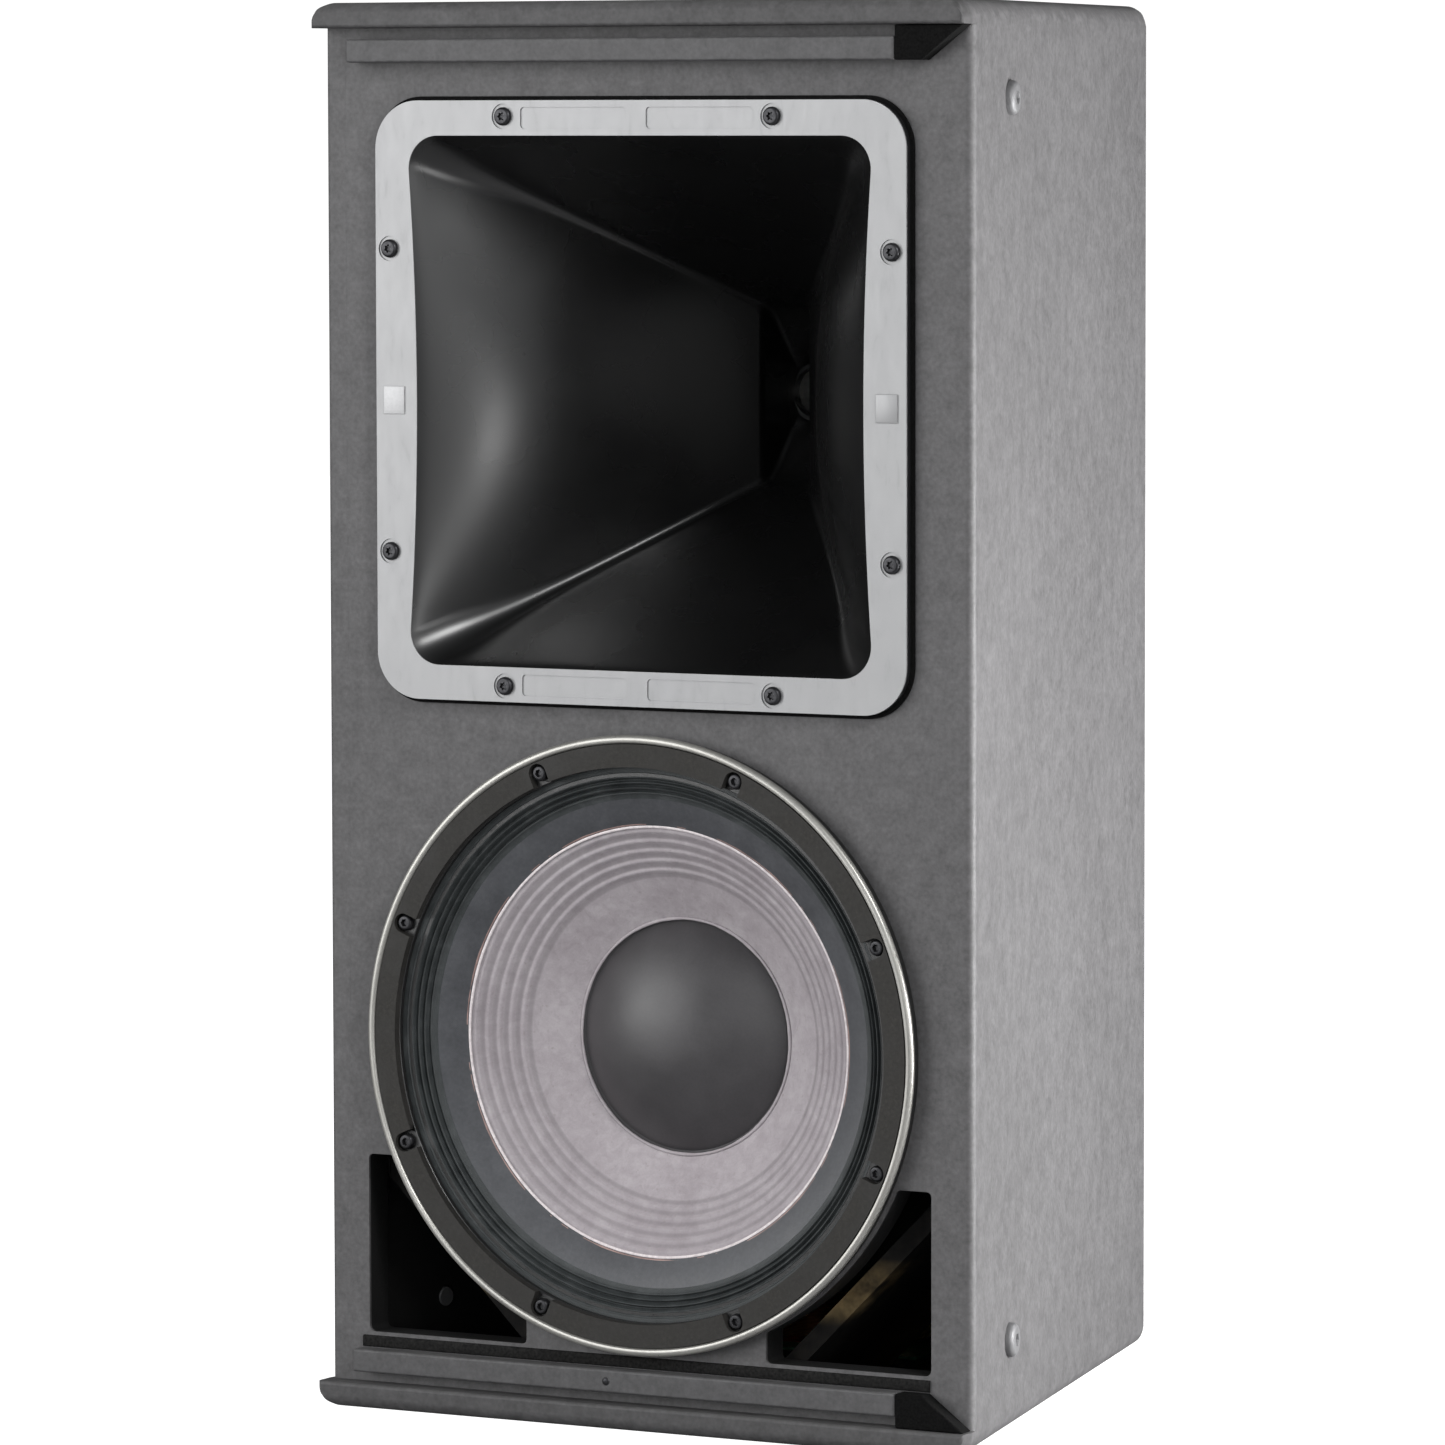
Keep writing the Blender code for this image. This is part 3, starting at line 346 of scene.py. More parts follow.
def vent_board():
    """Brown wood under near-black painted shade, which leaves the wood showing in patches near the
    openings, where light glints on it, and again deep inside.
    """
    mat = Finish("vent_board", 0.85, specular=0.15)
    grain = mat.noise(60, detail=4, rough=0.6, vector=mat.stretch(1, 0.06, 1))
    wood = mat.tones(grain, (0.075, 0.052, 0.024), (0.17, 0.125, 0.062))
    _, y, z = mat.xyz()
    band = z.fade(0.056, 0.066) * z.fade(0.092, 0.080)
    glint_patches = band * mat.noise(38, detail=4, rough=0.6).fade(0.42, 0.62) * y.fade(0.05, 0.03)
    deep = y.fade(0.09, 0.2)
    # near-black painted shade over the boards
    black = mat.tones(mat.noise(200, detail=3), grey(0.003), (0.009, 0.008, 0.007))
    mat.color(mat.mix(black, wood, mat.math("MAXIMUM", glint_patches, deep)))
    mat.bump(grain, strength=0.4, depth=0.3)
    return mat.material


def damping_wool():
    mat = Finish("damping_wool", 0.95, specular=0.1)
    fibres = mat.noise(380, detail=5, rough=0.7, warp=1.5)
    clumps = mat.noise(42, detail=4, rough=0.6)
    mat.color(mat.ramp(fibres * 0.5 + clumps * 0.5, (0.3, (0.34, 0.32, 0.27)),
                       (0.5, (0.56, 0.54, 0.48)), (0.7, (0.75, 0.73, 0.68))))
    mat.bump(fibres, strength=0.9, depth=1.2)
    mat.bump(clumps, strength=0.5, depth=4.0)
    mat.surface["Sheen Weight"].default_value = 0.4
    return mat.material


PAINT = pebbled_paint("cabinet_paint", dark=(0.0505, 0.0492, 0.0500),
                      light=(0.0975, 0.0953, 0.0975), rough=(0.52, 0.68), depth=0.13)
BATTEN_PAINT = pebbled_paint("batten_paint", dark=(0.060, 0.059, 0.0605),
                             light=(0.112, 0.110, 0.113), rough=(0.5, 0.62), depth=0.09)
PLYWOOD = bare_plywood()
VENT_BOARD = vent_board()
WOOL = damping_wool()


# ---------------------------------------------------------------------------
# Horn finishes, seals and plain metals
# ---------------------------------------------------------------------------
def horn_face_paint():
    """Satin silver with a fine metallic flake; black on the sides of the face."""
    mat = Finish("horn_face_paint", 0.4, 0.35, 0.5)
    flake = mat.cells(2600)
    haze = mat.noise(18, detail=3, rough=0.55)
    scuffs = mat.noise(240, detail=4, rough=0.65, vector=mat.stretch(1, 1, 0.25), warp=0.6)
    base = mat.tones(haze, (0.208, 0.209, 0.213), (0.250, 0.251, 0.253))
    base = mat.mix(base, (0.33, 0.33, 0.334), flake.fade(0.0, 0.5) * 0.10)
    base = mat.mix(base, (0.15, 0.15, 0.153), scuffs.fade(0.6, 0.75) * 0.22)
    mat.rough(scuffs * 0.5 + haze * 0.5, low=0.34, high=0.48)
    mat.bump(mat.noise(700, detail=3, rough=0.6), strength=0.16, depth=0.08)
    mat.bump(mat.noise(26), strength=0.2, depth=0.25)
    side = mat.xyz()[1] > (FACE_Y + 1.0) * MM
    mat.color(mat.mix(base, (0.008, 0.008, 0.009), side))
    mat.metal((1.0 - side) * 0.35)
    return mat.material


def blank_badge():
    mat = Finish("blank_badge", 0.45, 0.2, 0.5)
    grain = mat.noise(600, detail=3, rough=0.6)
    mat.color(mat.tones(grain, (0.36, 0.36, 0.365), (0.42, 0.42, 0.425)))
    mat.rough(grain, low=0.4, high=0.5)
    mat.bump(grain, strength=0.2, depth=0.05)
    return mat.material


def horn_moulding():
    """Nearly smooth black plastic."""
    mat = Finish("horn_moulding", 0.27, 0.0, 0.62)
    mat.color(mat.tones(mat.noise(12, detail=3), (0.0022, 0.0022, 0.0023),
                        (0.0036, 0.0036, 0.0037)))
    mat.rough(mat.noise(22, detail=3), low=0.25, high=0.30)
    mat.bump(mat.noise(330), strength=0.08, depth=0.04)
    return mat.material


def black_seal():
    mat = Finish("black_seal", 0.9, specular=0.08)
    mat.color(mat.tones(mat.noise(900), grey(0.0015), grey(0.005)))
    mat.bump(mat.cells(1400), strength=0.7, depth=0.15)
    return mat.material


def shade_strip_finish():
    mat = Finish("shade_strip_finish", 0.95, specular=0.1)
    # near-black, for the painted shade strip along the bottom batten
    mat.color(mat.tones(mat.noise(700, detail=3), grey(0.006), (0.018, 0.0175, 0.017)))
    mat.bump(mat.cells(1100), strength=0.7, depth=0.2)
    return mat.material


def metal(name, dark, light, rough, scale=500, depth=0.12, metallic=1.0):
    mat = Finish(name, 0.4, metallic)
    grain = mat.noise(scale, detail=4, rough=0.6)
    clouds = mat.noise(25, detail=3)
    mat.color(mat.tones(grain * 0.4 + clouds * 0.6, dark, light))
    mat.rough(grain, *rough)
    mat.bump(grain, strength=0.3, depth=depth)
    return mat.material


HORN_FACE = horn_face_paint()
BADGE = blank_badge()
HORN_BLACK = horn_moulding()
SEAL = black_seal()
STRIP_SHADE = shade_strip_finish()
ZINC = metal("zinc_steel", (0.42, 0.43, 0.43), (0.62, 0.62, 0.6), rough=(0.28, 0.45), scale=420)
FERRITE = metal("ferrite", (0.03, 0.03, 0.032), (0.055, 0.055, 0.058),
                rough=(0.45, 0.6), scale=800, metallic=0.2)
DRIVER_CAP = metal("driver_cap", (0.02, 0.02, 0.021), (0.035, 0.035, 0.036),
                   rough=(0.4, 0.55), scale=600, metallic=0.0)
TITANIUM = metal("titanium_foil", (0.42, 0.41, 0.39), (0.55, 0.54, 0.51),
                 rough=(0.22, 0.36), scale=900)


# ---------------------------------------------------------------------------
# Woofer finishes
# ---------------------------------------------------------------------------
def cast_frame():
    """Black paint, with a bright turned bead round the rim."""
    mat = Finish("cast_frame", 0.4)
    grain = mat.noise(700, detail=4, rough=0.6)
    clouds = mat.noise(25, detail=3)
    radius = mat.woofer_radius()
    on_bead = radius.within(WOOFER_R - 3.15, WOOFER_R + 9) * (mat.xyz()[1] < -6.6 * MM)
    turning_marks = (radius * (2 * math.pi / (0.35 * MM))).sine()
    bright = mat.tones(grain * 0.4 + clouds * 0.6, (0.262, 0.257, 0.240), (0.350, 0.343, 0.320))
    black = mat.tones(grain, grey(0.006), grey(0.016))
    mat.color(mat.mix(black, bright, on_bead))
    mat.metal(on_bead * 0.6)
    mat.rough(grain, low=0.27, high=0.42)
    mat.bump(grain + turning_marks * 0.15, strength=0.25, depth=0.06)
    return mat.material


def gasket_board():
    mat = Finish("gasket_board", 0.8, specular=0.3)
    fibres = mat.noise(520, detail=4, rough=0.65, warp=0.6)
    blotches = mat.noise(48, detail=3, rough=0.6)
    mat.color(mat.ramp(fibres * 0.55 + blotches * 0.45, (0.3, (0.0135, 0.0127, 0.0117)),
                       (0.55, (0.0230, 0.0218, 0.0198)), (0.75, (0.039, 0.0368, 0.0333))))
    mat.bump(fibres, strength=0.45, depth=0.25)
    mat.rough(blotches, low=0.6, high=0.85)
    return mat.material


def surround_cloth():
    mat = Finish("surround_cloth", 0.55, specular=0.4)
    weave = mat.weave(pitch=0.9)
    blotches = mat.noise(85, detail=4, rough=0.65)
    base = mat.ramp(blotches, (0.3, (0.014, 0.017, 0.0175)), (0.55, (0.028, 0.032, 0.033)),
                    (0.78, (0.057, 0.062, 0.063)))
    mat.color(mat.mix(base, (0.060, 0.067, 0.068), weave.fade(-0.4, 0.9) * 0.3))
    mat.bump(weave, strength=0.5, depth=0.12)
    mat.bump(mat.noise(300, detail=3), strength=0.35, depth=0.25)
    mat.rough(blotches, low=0.42, high=0.66)
    return mat.material


def surround_land():
    """The doped band between the cloth rolls and the paper."""
    mat = Finish("surround_land", 0.5, specular=0.45)
    blotches = mat.noise(60, detail=4, rough=0.6)
    streaks = mat.noise(500, detail=3, rough=0.6)
    mat.color(mat.ramp(blotches * 0.6 + streaks * 0.4, (0.3, (0.034, 0.0355, 0.040)),
                       (0.5, (0.049, 0.051, 0.0565)), (0.72, (0.067, 0.070, 0.0765))))
    mat.bump(mat.weave(pitch=1.1), strength=0.16, depth=0.08)
    mat.bump(streaks, strength=0.2, depth=0.12)
    mat.rough(blotches, low=0.42, high=0.58)
    return mat.material


def spider_cloth():
    mat = Finish("spider_cloth", 0.8, specular=0.2)
    weave = mat.weave(pitch=1.1)
    mat.color(mat.mix((0.42, 0.24, 0.07), (0.62, 0.40, 0.15), weave.fade(-0.5, 0.9)))
    mat.bump(weave, strength=0.8, depth=0.2)
    mat.bump(mat.noise(200, detail=3), strength=0.3, depth=0.3)
    return mat.material


def cone_paper():
    """Pressed pulp with fibres, a light mauve grey, with painted shade in the grooves between the
    ribs.
    """
    mat = Finish("cone_paper", 0.78, specular=0.28)
    fibres = mat.noise(620, detail=5, rough=0.7, warp=1.2)
    pulp = mat.noise(150, detail=4, rough=0.65, warp=0.5)
    clouds = mat.noise(16, detail=3, rough=0.6)
    base = mat.ramp(pulp * 0.42 + (fibres * 0.22 + clouds * 0.36),
                    (0.34, (0.238, 0.212, 0.225)), (0.5, (0.308, 0.281, 0.295)),
                    (0.64, (0.373, 0.346, 0.358)))
    specks = mat.noise(420).fade(0.66, 0.74)
    base = mat.mix(base, (0.2, 0.17, 0.17), specks * 0.35)
    radius = mat.woofer_radius()
    # painted shade in the grooves between the pressed ribs
    ribs = ((radius - RIB_OUTER_R * MM) * (2 * math.pi / (RIB_PITCH * MM))).cosine()
    groove = ribs.fade(0.1, -0.9) * radius.within(RIB_OUTER_R - 4.75 * RIB_PITCH,
                                                  RIB_OUTER_R + 0.2 * RIB_PITCH)
    mat.color(mat.mix(base, (0.10, 0.088, 0.095), groove * 0.36))
    mat.rough(pulp, low=0.66, high=0.85)
    mat.bump(fibres, strength=0.4, depth=0.12)
    mat.bump(pulp, strength=0.45, depth=0.3)
    return mat.material


def cone_edge():
    mat = Finish("cone_edge", 0.7, specular=0.3)
    grain = mat.noise(420, detail=3, rough=0.6)
    mat.color(mat.tones(grain, (0.50, 0.45, 0.46), (0.72, 0.67, 0.67)))
    mat.bump(grain, strength=0.4, depth=0.15)
    return mat.material


def glue_line():
    mat = Finish("glue_line", 0.45, specular=0.5)
    mat.color(mat.tones(mat.noise(90, detail=3, rough=0.6), (0.16, 0.10, 0.09),
                        (0.30, 0.20, 0.18)))
    mat.bump(mat.noise(260, detail=3), strength=0.4, depth=0.2)
    return mat.material


def dust_cap_paper():
    mat = Finish("dust_cap_paper", 0.5, specular=0.5)
    grain = mat.noise(800, detail=3, rough=0.6)
    blotches = mat.noise(30, detail=4, rough=0.6)
    mat.color(mat.ramp(blotches * 0.7 + grain * 0.3, (0.3, (0.0255, 0.024, 0.0255)),
                       (0.5, (0.035, 0.033, 0.035)), (0.72, (0.047, 0.0445, 0.047))))
    mat.rough(blotches, low=0.40, high=0.50)
    mat.bump(grain, strength=0.3, depth=0.1)
    mat.bump(mat.noise(190, detail=3), strength=0.25, depth=0.2)
    return mat.material


def copper_turns(name, scale, direction, strength, depth):
    mat = Finish(name, 0.3, 1.0)
    turns = mat.wave(scale, direction)
    mat.color(mat.ramp(turns, (0.2, (0.45, 0.17, 0.07)), (0.8, (0.85, 0.44, 0.25))))
    mat.bump(turns, strength=strength, depth=depth)
    return mat.material


RIM_BLACK = cast_frame()
CAST = metal("cast_frame_body", (0.28, 0.28, 0.275), (0.42, 0.42, 0.41),
             rough=(0.45, 0.62), depth=0.3)
GASKET_BOARD = gasket_board()
SURROUND = surround_cloth()
LAND = surround_land()
SPIDER = spider_cloth()
CONE_PAPER = cone_paper()
CONE_EDGE = cone_edge()
GLUE = glue_line()
DUST_CAP = dust_cap_paper()
COIL = copper_turns("coil_copper", 1250, "Y", strength=0.8, depth=0.15)
WINDING = copper_turns("coil_winding", 420, "Z", strength=0.9, depth=0.4)


# ---------------------------------------------------------------------------
# Plastics and screws
# ---------------------------------------------------------------------------
def plastic(name, dark, light, rough=(0.35, 0.5), scale=500, depth=0.1):
    mat = Finish(name, 0.4)
    grain = mat.noise(scale, detail=3, rough=0.6)
    mat.color(mat.tones(mat.noise(40, detail=3, rough=0.6), dark, light))
    mat.rough(grain, *rough)
    mat.bump(grain, strength=0.3, depth=depth)
    return mat.material


def black_screw():
    """Dark metal, lighter along its raised edges."""
    mat = Finish("black_screw", 0.36, 0.75)
    grain = mat.noise(900, detail=3, rough=0.6)
    base = mat.tones(mat.noise(180, detail=3), (0.018, 0.018, 0.02), (0.04, 0.04, 0.043))
    edges = mat.node("NewGeometry", {}, "Pointiness").fade(0.54, 0.66)
    mat.color(mat.mix(base, grey(0.3), edges * 0.5))
    mat.rough(grain, low=0.28, high=0.46)
    mat.bump(grain, strength=0.25, depth=0.05)
    return mat.material


TERMINAL = plastic("terminal_plastic", grey(0.012), grey(0.022))
BOARD = plastic("circuit_board", (0.012, 0.09, 0.035), (0.02, 0.13, 0.055),
                rough=(0.3, 0.45), scale=200)
FILM = plastic("capacitor_film", (0.5, 0.33, 0.045), (0.62, 0.44, 0.07),
               rough=(0.2, 0.35), scale=120)
RED_LEAD = plastic("lead_red", (0.32, 0.015, 0.012), (0.42, 0.025, 0.02))
BLACK_LEAD = plastic("lead_black", grey(0.01), grey(0.02))
PLATE = plastic("plate_paint", (0.016, 0.016, 0.017), (0.028, 0.028, 0.029),
                rough=(0.42, 0.6), scale=1100, depth=0.22)
SOCKET = plastic("socket_plastic", (0.012, 0.015, 0.024), (0.018, 0.022, 0.034), rough=(0.3, 0.45))
SWITCH = plastic("switch_plastic", (0.42, 0.42, 0.41), (0.5, 0.5, 0.49))
CONTACT = metal("socket_contact", (0.6, 0.5, 0.25), (0.75, 0.65, 0.38), rough=(0.25, 0.4))
SCREW = black_screw()
RIGGING = metal("rigging_steel", (0.10, 0.10, 0.103), (0.15, 0.15, 0.153),
                rough=(0.5, 0.62), scale=700, metallic=0.3)


# ---------------------------------------------------------------------------
# Mesh helpers; lengths go in as millimetres
# ---------------------------------------------------------------------------
def new_object(name, data):
    part = bpy.data.objects.new(name, data)
    SCENE.collection.objects.link(part)
    return part


@contextmanager
def editing(mesh):
    """Opens a mesh, new or filled, as a bmesh and writes it back."""
    bm = bmesh.new()
    if len(mesh.vertices):
        bm.from_mesh(mesh)
    yield bm
    bm.to_mesh(mesh)
    bm.free()


def dress(mesh, mat, angle=32.0, recalc=True):
    """Turns normals outward, sets the material, and shades smooth up to an edge angle."""
    if recalc:
        with editing(mesh) as bm:
            bmesh.ops.recalc_face_normals(bm, faces=bm.faces)
    mesh.materials.clear()
    mesh.materials.append(mat)
    mesh.shade_smooth()
    mesh.set_sharp_from_angle(angle=math.radians(angle))
    return mesh


def finish(part, mat, angle=32.0, recalc=True):
    dress(part.data, mat, angle, recalc)
    return part


def flat_faces(part):
    """Keeps large faces flat beside rounded edges."""
    modifier = part.modifiers.new("flat", "WEIGHTED_NORMAL")
    modifier.mode = "FACE_AREA"
    modifier.weight = 100
    modifier.keep_sharp = True
    return part


def grid_mesh(name, rows, closed_rows=True, closed_cols=False):
    """Quads between rows of equally many points."""
    mesh = bpy.data.meshes.new(name)
    with editing(mesh) as bm:
        verts = [[bm.verts.new(Vector(point) * MM) for point in row] for row in rows]
        pairs = list(zip(verts, verts[1:]))
        if closed_cols:
            pairs.append((verts[-1], verts[0]))
        for one, other in pairs:
            count = len(one)
            for i in range(count if closed_rows else count - 1):
                j = (i + 1) % count
                bm.faces.new((one[i], one[j], other[j], other[i]))
    return mesh


def fill_holes(mesh):
    with editing(mesh) as bm:
        bmesh.ops.holes_fill(bm, edges=[e for e in bm.edges if e.is_boundary], sides=0)


def lathe(name, profile, mat, segments, loop=True, axis_z=WOOFER_Z, y=0.0, angle=32.0, vary=None):
    """Turns a profile of (radius, height in front of y) about a front-to-back axis.

    loop joins the profile's ends. vary changes radius and height with the angle."""
    rows = []
    for radius, height in profile:
        row = []
        for i in range(segments):
            turn = 2 * math.pi * i / segments
            out, rise = vary(radius, height, turn) if vary else (radius, height)
            row.append((out * math.cos(turn), y - rise, axis_z + out * math.sin(turn)))
        rows.append(row)
    mesh = grid_mesh(name, rows, closed_cols=loop)
    with editing(mesh) as bm:
        bmesh.ops.remove_doubles(bm, verts=bm.verts, dist=1e-6)
    return finish(new_object(name, mesh), mat, angle)


def freeze(part):
    """Applies the modifiers."""
    bpy.context.view_layer.update()
    depsgraph = bpy.context.evaluated_depsgraph_get()
    mesh = bpy.data.meshes.new_from_object(part.evaluated_get(depsgraph))
    old = part.data
    part.modifiers.clear()
    part.data = mesh
    if old.users == 0:
        bpy.data.meshes.remove(old)


def subtract(part, cutter):
    modifier = part.modifiers.new("cut", "BOOLEAN")
    modifier.operation, modifier.solver, modifier.object = "DIFFERENCE", "EXACT", cutter
    freeze(part)
    bpy.data.objects.remove(cutter, do_unlink=True)


def bevel(part, width, segments, angle):
    """Rounds the edges sharper than an angle."""
    modifier = part.modifiers.new("edges", "BEVEL")
    modifier.limit_method = "ANGLE"
    modifier.angle_limit = math.radians(angle)
    modifier.width = width * MM
    modifier.segments = segments
    modifier.use_clamp_overlap = True
    freeze(part)


def prism(name, outline, low, high, mat, rules=(), width=1.0, segments=6):
    """An upright prism on an (x, y) outline.

    Rules are (test of an edge's two ends, share of the rounding width)."""
    mesh = bpy.data.meshes.new(name)
    with editing(mesh) as bm:
        bottom, top = ([bm.verts.new((x * MM, y * MM, z * MM)) for x, y in outline]
                       for z in (low, high))
        bm.faces.new(bottom)
        bm.faces.new(top)
        for i in range(len(bottom)):
            j = (i + 1) % len(bottom)
            bm.faces.new((bottom[i], bottom[j], top[j], top[i]))
        bmesh.ops.recalc_face_normals(bm, faces=bm.faces)
    part = new_object(name, mesh)
    if rules:
        weights = mesh.attributes.new("bevel_weight_edge", "FLOAT", "EDGE")
        for edge in mesh.edges:
            one, other = (mesh.vertices[i].co / MM for i in edge.vertices)
            for rule, weight in rules:
                if rule(one, other):
                    weights.data[edge.index].value = weight
                    break
        modifier = part.modifiers.new("edges", "BEVEL")
        modifier.limit_method = "WEIGHT"
        modifier.width = width * MM
        modifier.segments = segments
        freeze(part)
    return finish(part, mat)


def outline_solid(name, loops, front, back, mat, edge=0.0, segments=2, angle=35.0):
    """An (x, z) outline with holes, made solid between two depths."""
    curve = bpy.data.curves.new(name, "CURVE")
    curve.dimensions = "2D"
    curve.fill_mode = "BOTH"
    curve.extrude = abs(back - front) / 2 * MM
    for loop in loops:
        spline = curve.splines.new("POLY")
        spline.points.add(len(loop) - 1)
        for point, (x, z) in zip(spline.points, loop):
            point.co = (x * MM, z * MM, 0, 1)
        spline.use_cyclic_u = True
    guide = new_object(name + "_guide", curve)
    bpy.context.view_layer.update()
    depsgraph = bpy.context.evaluated_depsgraph_get()
    mesh = bpy.data.meshes.new_from_object(guide.evaluated_get(depsgraph))
    bpy.data.objects.remove(guide, do_unlink=True)
    bpy.data.curves.remove(curve)
    mesh.transform(Matrix.Translation((0, (front + back) / 2 * MM, 0)) @ TURN_FRONT)
    with editing(mesh) as bm:
        bmesh.ops.remove_doubles(bm, verts=bm.verts, dist=1e-6)
        bmesh.ops.recalc_face_normals(bm, faces=bm.faces)
    part = new_object(name, mesh)
    if edge:
        bevel(part, edge, segments, 50)
    return finish(part, mat, angle)


def circle(x, z, radius, count):
    turns = [2 * math.pi * i / count for i in range(count)]
    return [(x + radius * math.cos(a), z + radius * math.sin(a)) for a in turns]


def rounded_rect(half_w, half_h, radius, pinch=0.0, corner=14, side=40):
    """A rounded rectangle's points, with corner and side steps.

    pinch pulls the middle of the upright sides inward."""
    points = []
    # signs of a corner, the angle its arc begins at, signs of the next corner
    for sx, sz, begin, next_x, next_z in ((1, 1, 0, -1, 1), (-1, 1, 90, -1, -1),
                                          (-1, -1, 180, 1, -1), (1, -1, 270, 1, 1)):
        for i in range(corner + 1):
            turn = math.radians(begin + 90 * i / corner)
            points.append((sx * (half_w - radius) + radius * math.cos(turn),
                           sz * (half_h - radius) + radius * math.sin(turn)))
        (x0, z0), turn = points[-1], math.radians(begin + 90)
        x1 = next_x * (half_w - radius) + radius * math.cos(turn)
        z1 = next_z * (half_h - radius) + radius * math.sin(turn)
        for i in range(1, side):
            points.append((x0 + (x1 - x0) * (i / side), z0 + (z1 - z0) * (i / side)))
    if not pinch:
        return points
    pinched = []
    for x, z in points:
        if abs(x) > half_w - radius - 0.6 * radius:
            x -= math.copysign(pinch * max(0.0, 1 - (z / half_h) ** 2), x)
        pinched.append((x, z))
    return pinched


def shifted(points, x, z):
    return [(x + dx, z + dz) for dx, dz in points]


def block(name, size, centre, mat, edge, segments):
    """A box with rounded edges."""
    x, y, z = (v / 2 for v in size)
    part = prism(name, [(-x, -y), (x, -y), (x, y), (-x, y)], -z, z, mat)
    bevel(part, edge, segments, 40)
    part.data.transform(Matrix.Translation(Vector(centre) * MM))
    return finish(part, mat)


def cylinder(matrix, radius, length, segments):
    """A cutting cylinder along the matrix's Z."""
    mesh = bpy.data.meshes.new("cutter")
    with editing(mesh) as bm:
        bmesh.ops.create_cone(bm, cap_ends=True, segments=segments, radius1=radius * MM,
                              radius2=radius * MM, depth=length * MM, matrix=matrix)
    return new_object("cutter", mesh)


def front_cylinder(x, z, radius, front, back, segments):
    middle = Vector((x, (front + back) / 2, z))
    return cylinder(Matrix.Translation(middle * MM) @ TURN_FRONT, radius,
                    abs(back - front), segments)


def join_cutters(cutters):
    mesh = bpy.data.meshes.new("cutter")
    with editing(mesh) as bm:
        for cutter in cutters:
            bm.from_mesh(cutter.data)
            bpy.data.objects.remove(cutter, do_unlink=True)
    return new_object("cutter", mesh)


def attach(part, stands_for=None, body="cabinet"):
    if stands_for:
        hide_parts(stands_for)
    if body:
        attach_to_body(part, body)


TURN_FRONT = Matrix.Rotation(math.radians(90), 4, "X")  # local Z to -Y
TURN_BACK = Matrix.Rotation(math.radians(-90), 4, "X")  # local Z to +Y

# ---------------------------------------------------------------------------
# The box: top, bottom, sides, back
# ---------------------------------------------------------------------------
EDGE_R, BACK_EDGE_SHARE = 11.5, 0.6  # outer edges of the top and bottom
LIP_R, LIP_INNER_R = 6.0, 2.0
SIDE_FRONT_R, SIDE_BACK_R = 5.0, 7.0
RIG_HOLE_R = 5.6
PLATE_MARGIN = 10  # the back's window lies this far inside the plate's edge


def end_panel(name, low, high, outer):
    """The top or bottom panel; outer is the height of its outer face."""
    outline = [(-HALF_WIDTH, LIP_Y), (HALF_WIDTH, LIP_Y), (HALF_WIDTH, 0),
               (BACK_HALF, DEPTH), (-BACK_HALF, DEPTH), (-HALF_WIDTH, 0)]

    def on_outer(a, b):
        return abs(a.z - outer) < 0.01 and abs(b.z - outer) < 0.01

    rules = [
        (lambda a, b: on_outer(a, b) and a.x * b.x > 0 and abs(a.y - b.y) > 1, 1.0),
        (lambda a, b: on_outer(a, b) and a.y > DEPTH - 1 and b.y > DEPTH - 1, BACK_EDGE_SHARE),
        (lambda a, b: on_outer(a, b) and a.y < LIP_Y + 1 and b.y < LIP_Y + 1, LIP_R / EDGE_R),
        (lambda a, b: abs(a.z - b.z) < 0.01 and a.y < LIP_Y + 1 and b.y < LIP_Y + 1,
         LIP_INNER_R / EDGE_R),
        (lambda a, b: abs(a.z - b.z) > 1 and a.y > DEPTH - 1, SIDE_BACK_R / EDGE_R),
        (lambda a, b: abs(a.z - b.z) > 1 and a.y < LIP_Y + 1, LIP_INNER_R / EDGE_R),
    ]
    return flat_faces(prism(name, outline, low, high, PAINT, rules, EDGE_R, 10))


def side_panel(side, word):
    outline = [(side * HALF_WIDTH, 0), (side * BACK_HALF, DEPTH),
               (side * (BACK_HALF - PANEL_X), DEPTH), (side * (HALF_WIDTH - PANEL_X), 0)]
    rules = [
        (lambda a, b: abs(a.z - b.z) > 1 and a.y > DEPTH - 1
         and abs(abs(a.x) - BACK_HALF) < 0.1, 1.0),
        (lambda a, b: abs(a.z - b.z) > 1 and a.y < 1
         and abs(abs(a.x) - HALF_WIDTH) < 0.1, SIDE_FRONT_R / SIDE_BACK_R),
    ]
    part = prism(f"shell_{word}", outline, WALL_LOW, WALL_HIGH, PAINT, rules, SIDE_BACK_R, 8)
    across = Matrix.Rotation(side * TAPER, 4, "Z") @ Matrix.Rotation(math.radians(90), 4, "Y")
    holes = [size_and_middle(f"{word}_{end}_rigging_plug")[1] for end in ("upper", "lower")]
    subtract(part, join_cutters([
        cylinder(Matrix.Translation(hole * MM) @ across, RIG_HOLE_R, 70, 40) for hole in holes]))
    return flat_faces(finish(part, PAINT))


attach(end_panel("shell_top", TOP_LO.z, TOP_HI.z, TOP_HI.z), "top_panel")
attach(end_panel("shell_bottom", BOT_LO.z, BOT_HI.z, BOT_LO.z), "bottom_panel")
for side, word in SIDES:
    attach(side_panel(side, word), f"{word}_side_panel")

PLATE_LO, PLATE_HI = box("input_plate")
PLATE_W, PLATE_H = PLATE_HI.x - PLATE_LO.x, PLATE_HI.z - PLATE_LO.z
PLATE_Z = (PLATE_HI.z + PLATE_LO.z) / 2


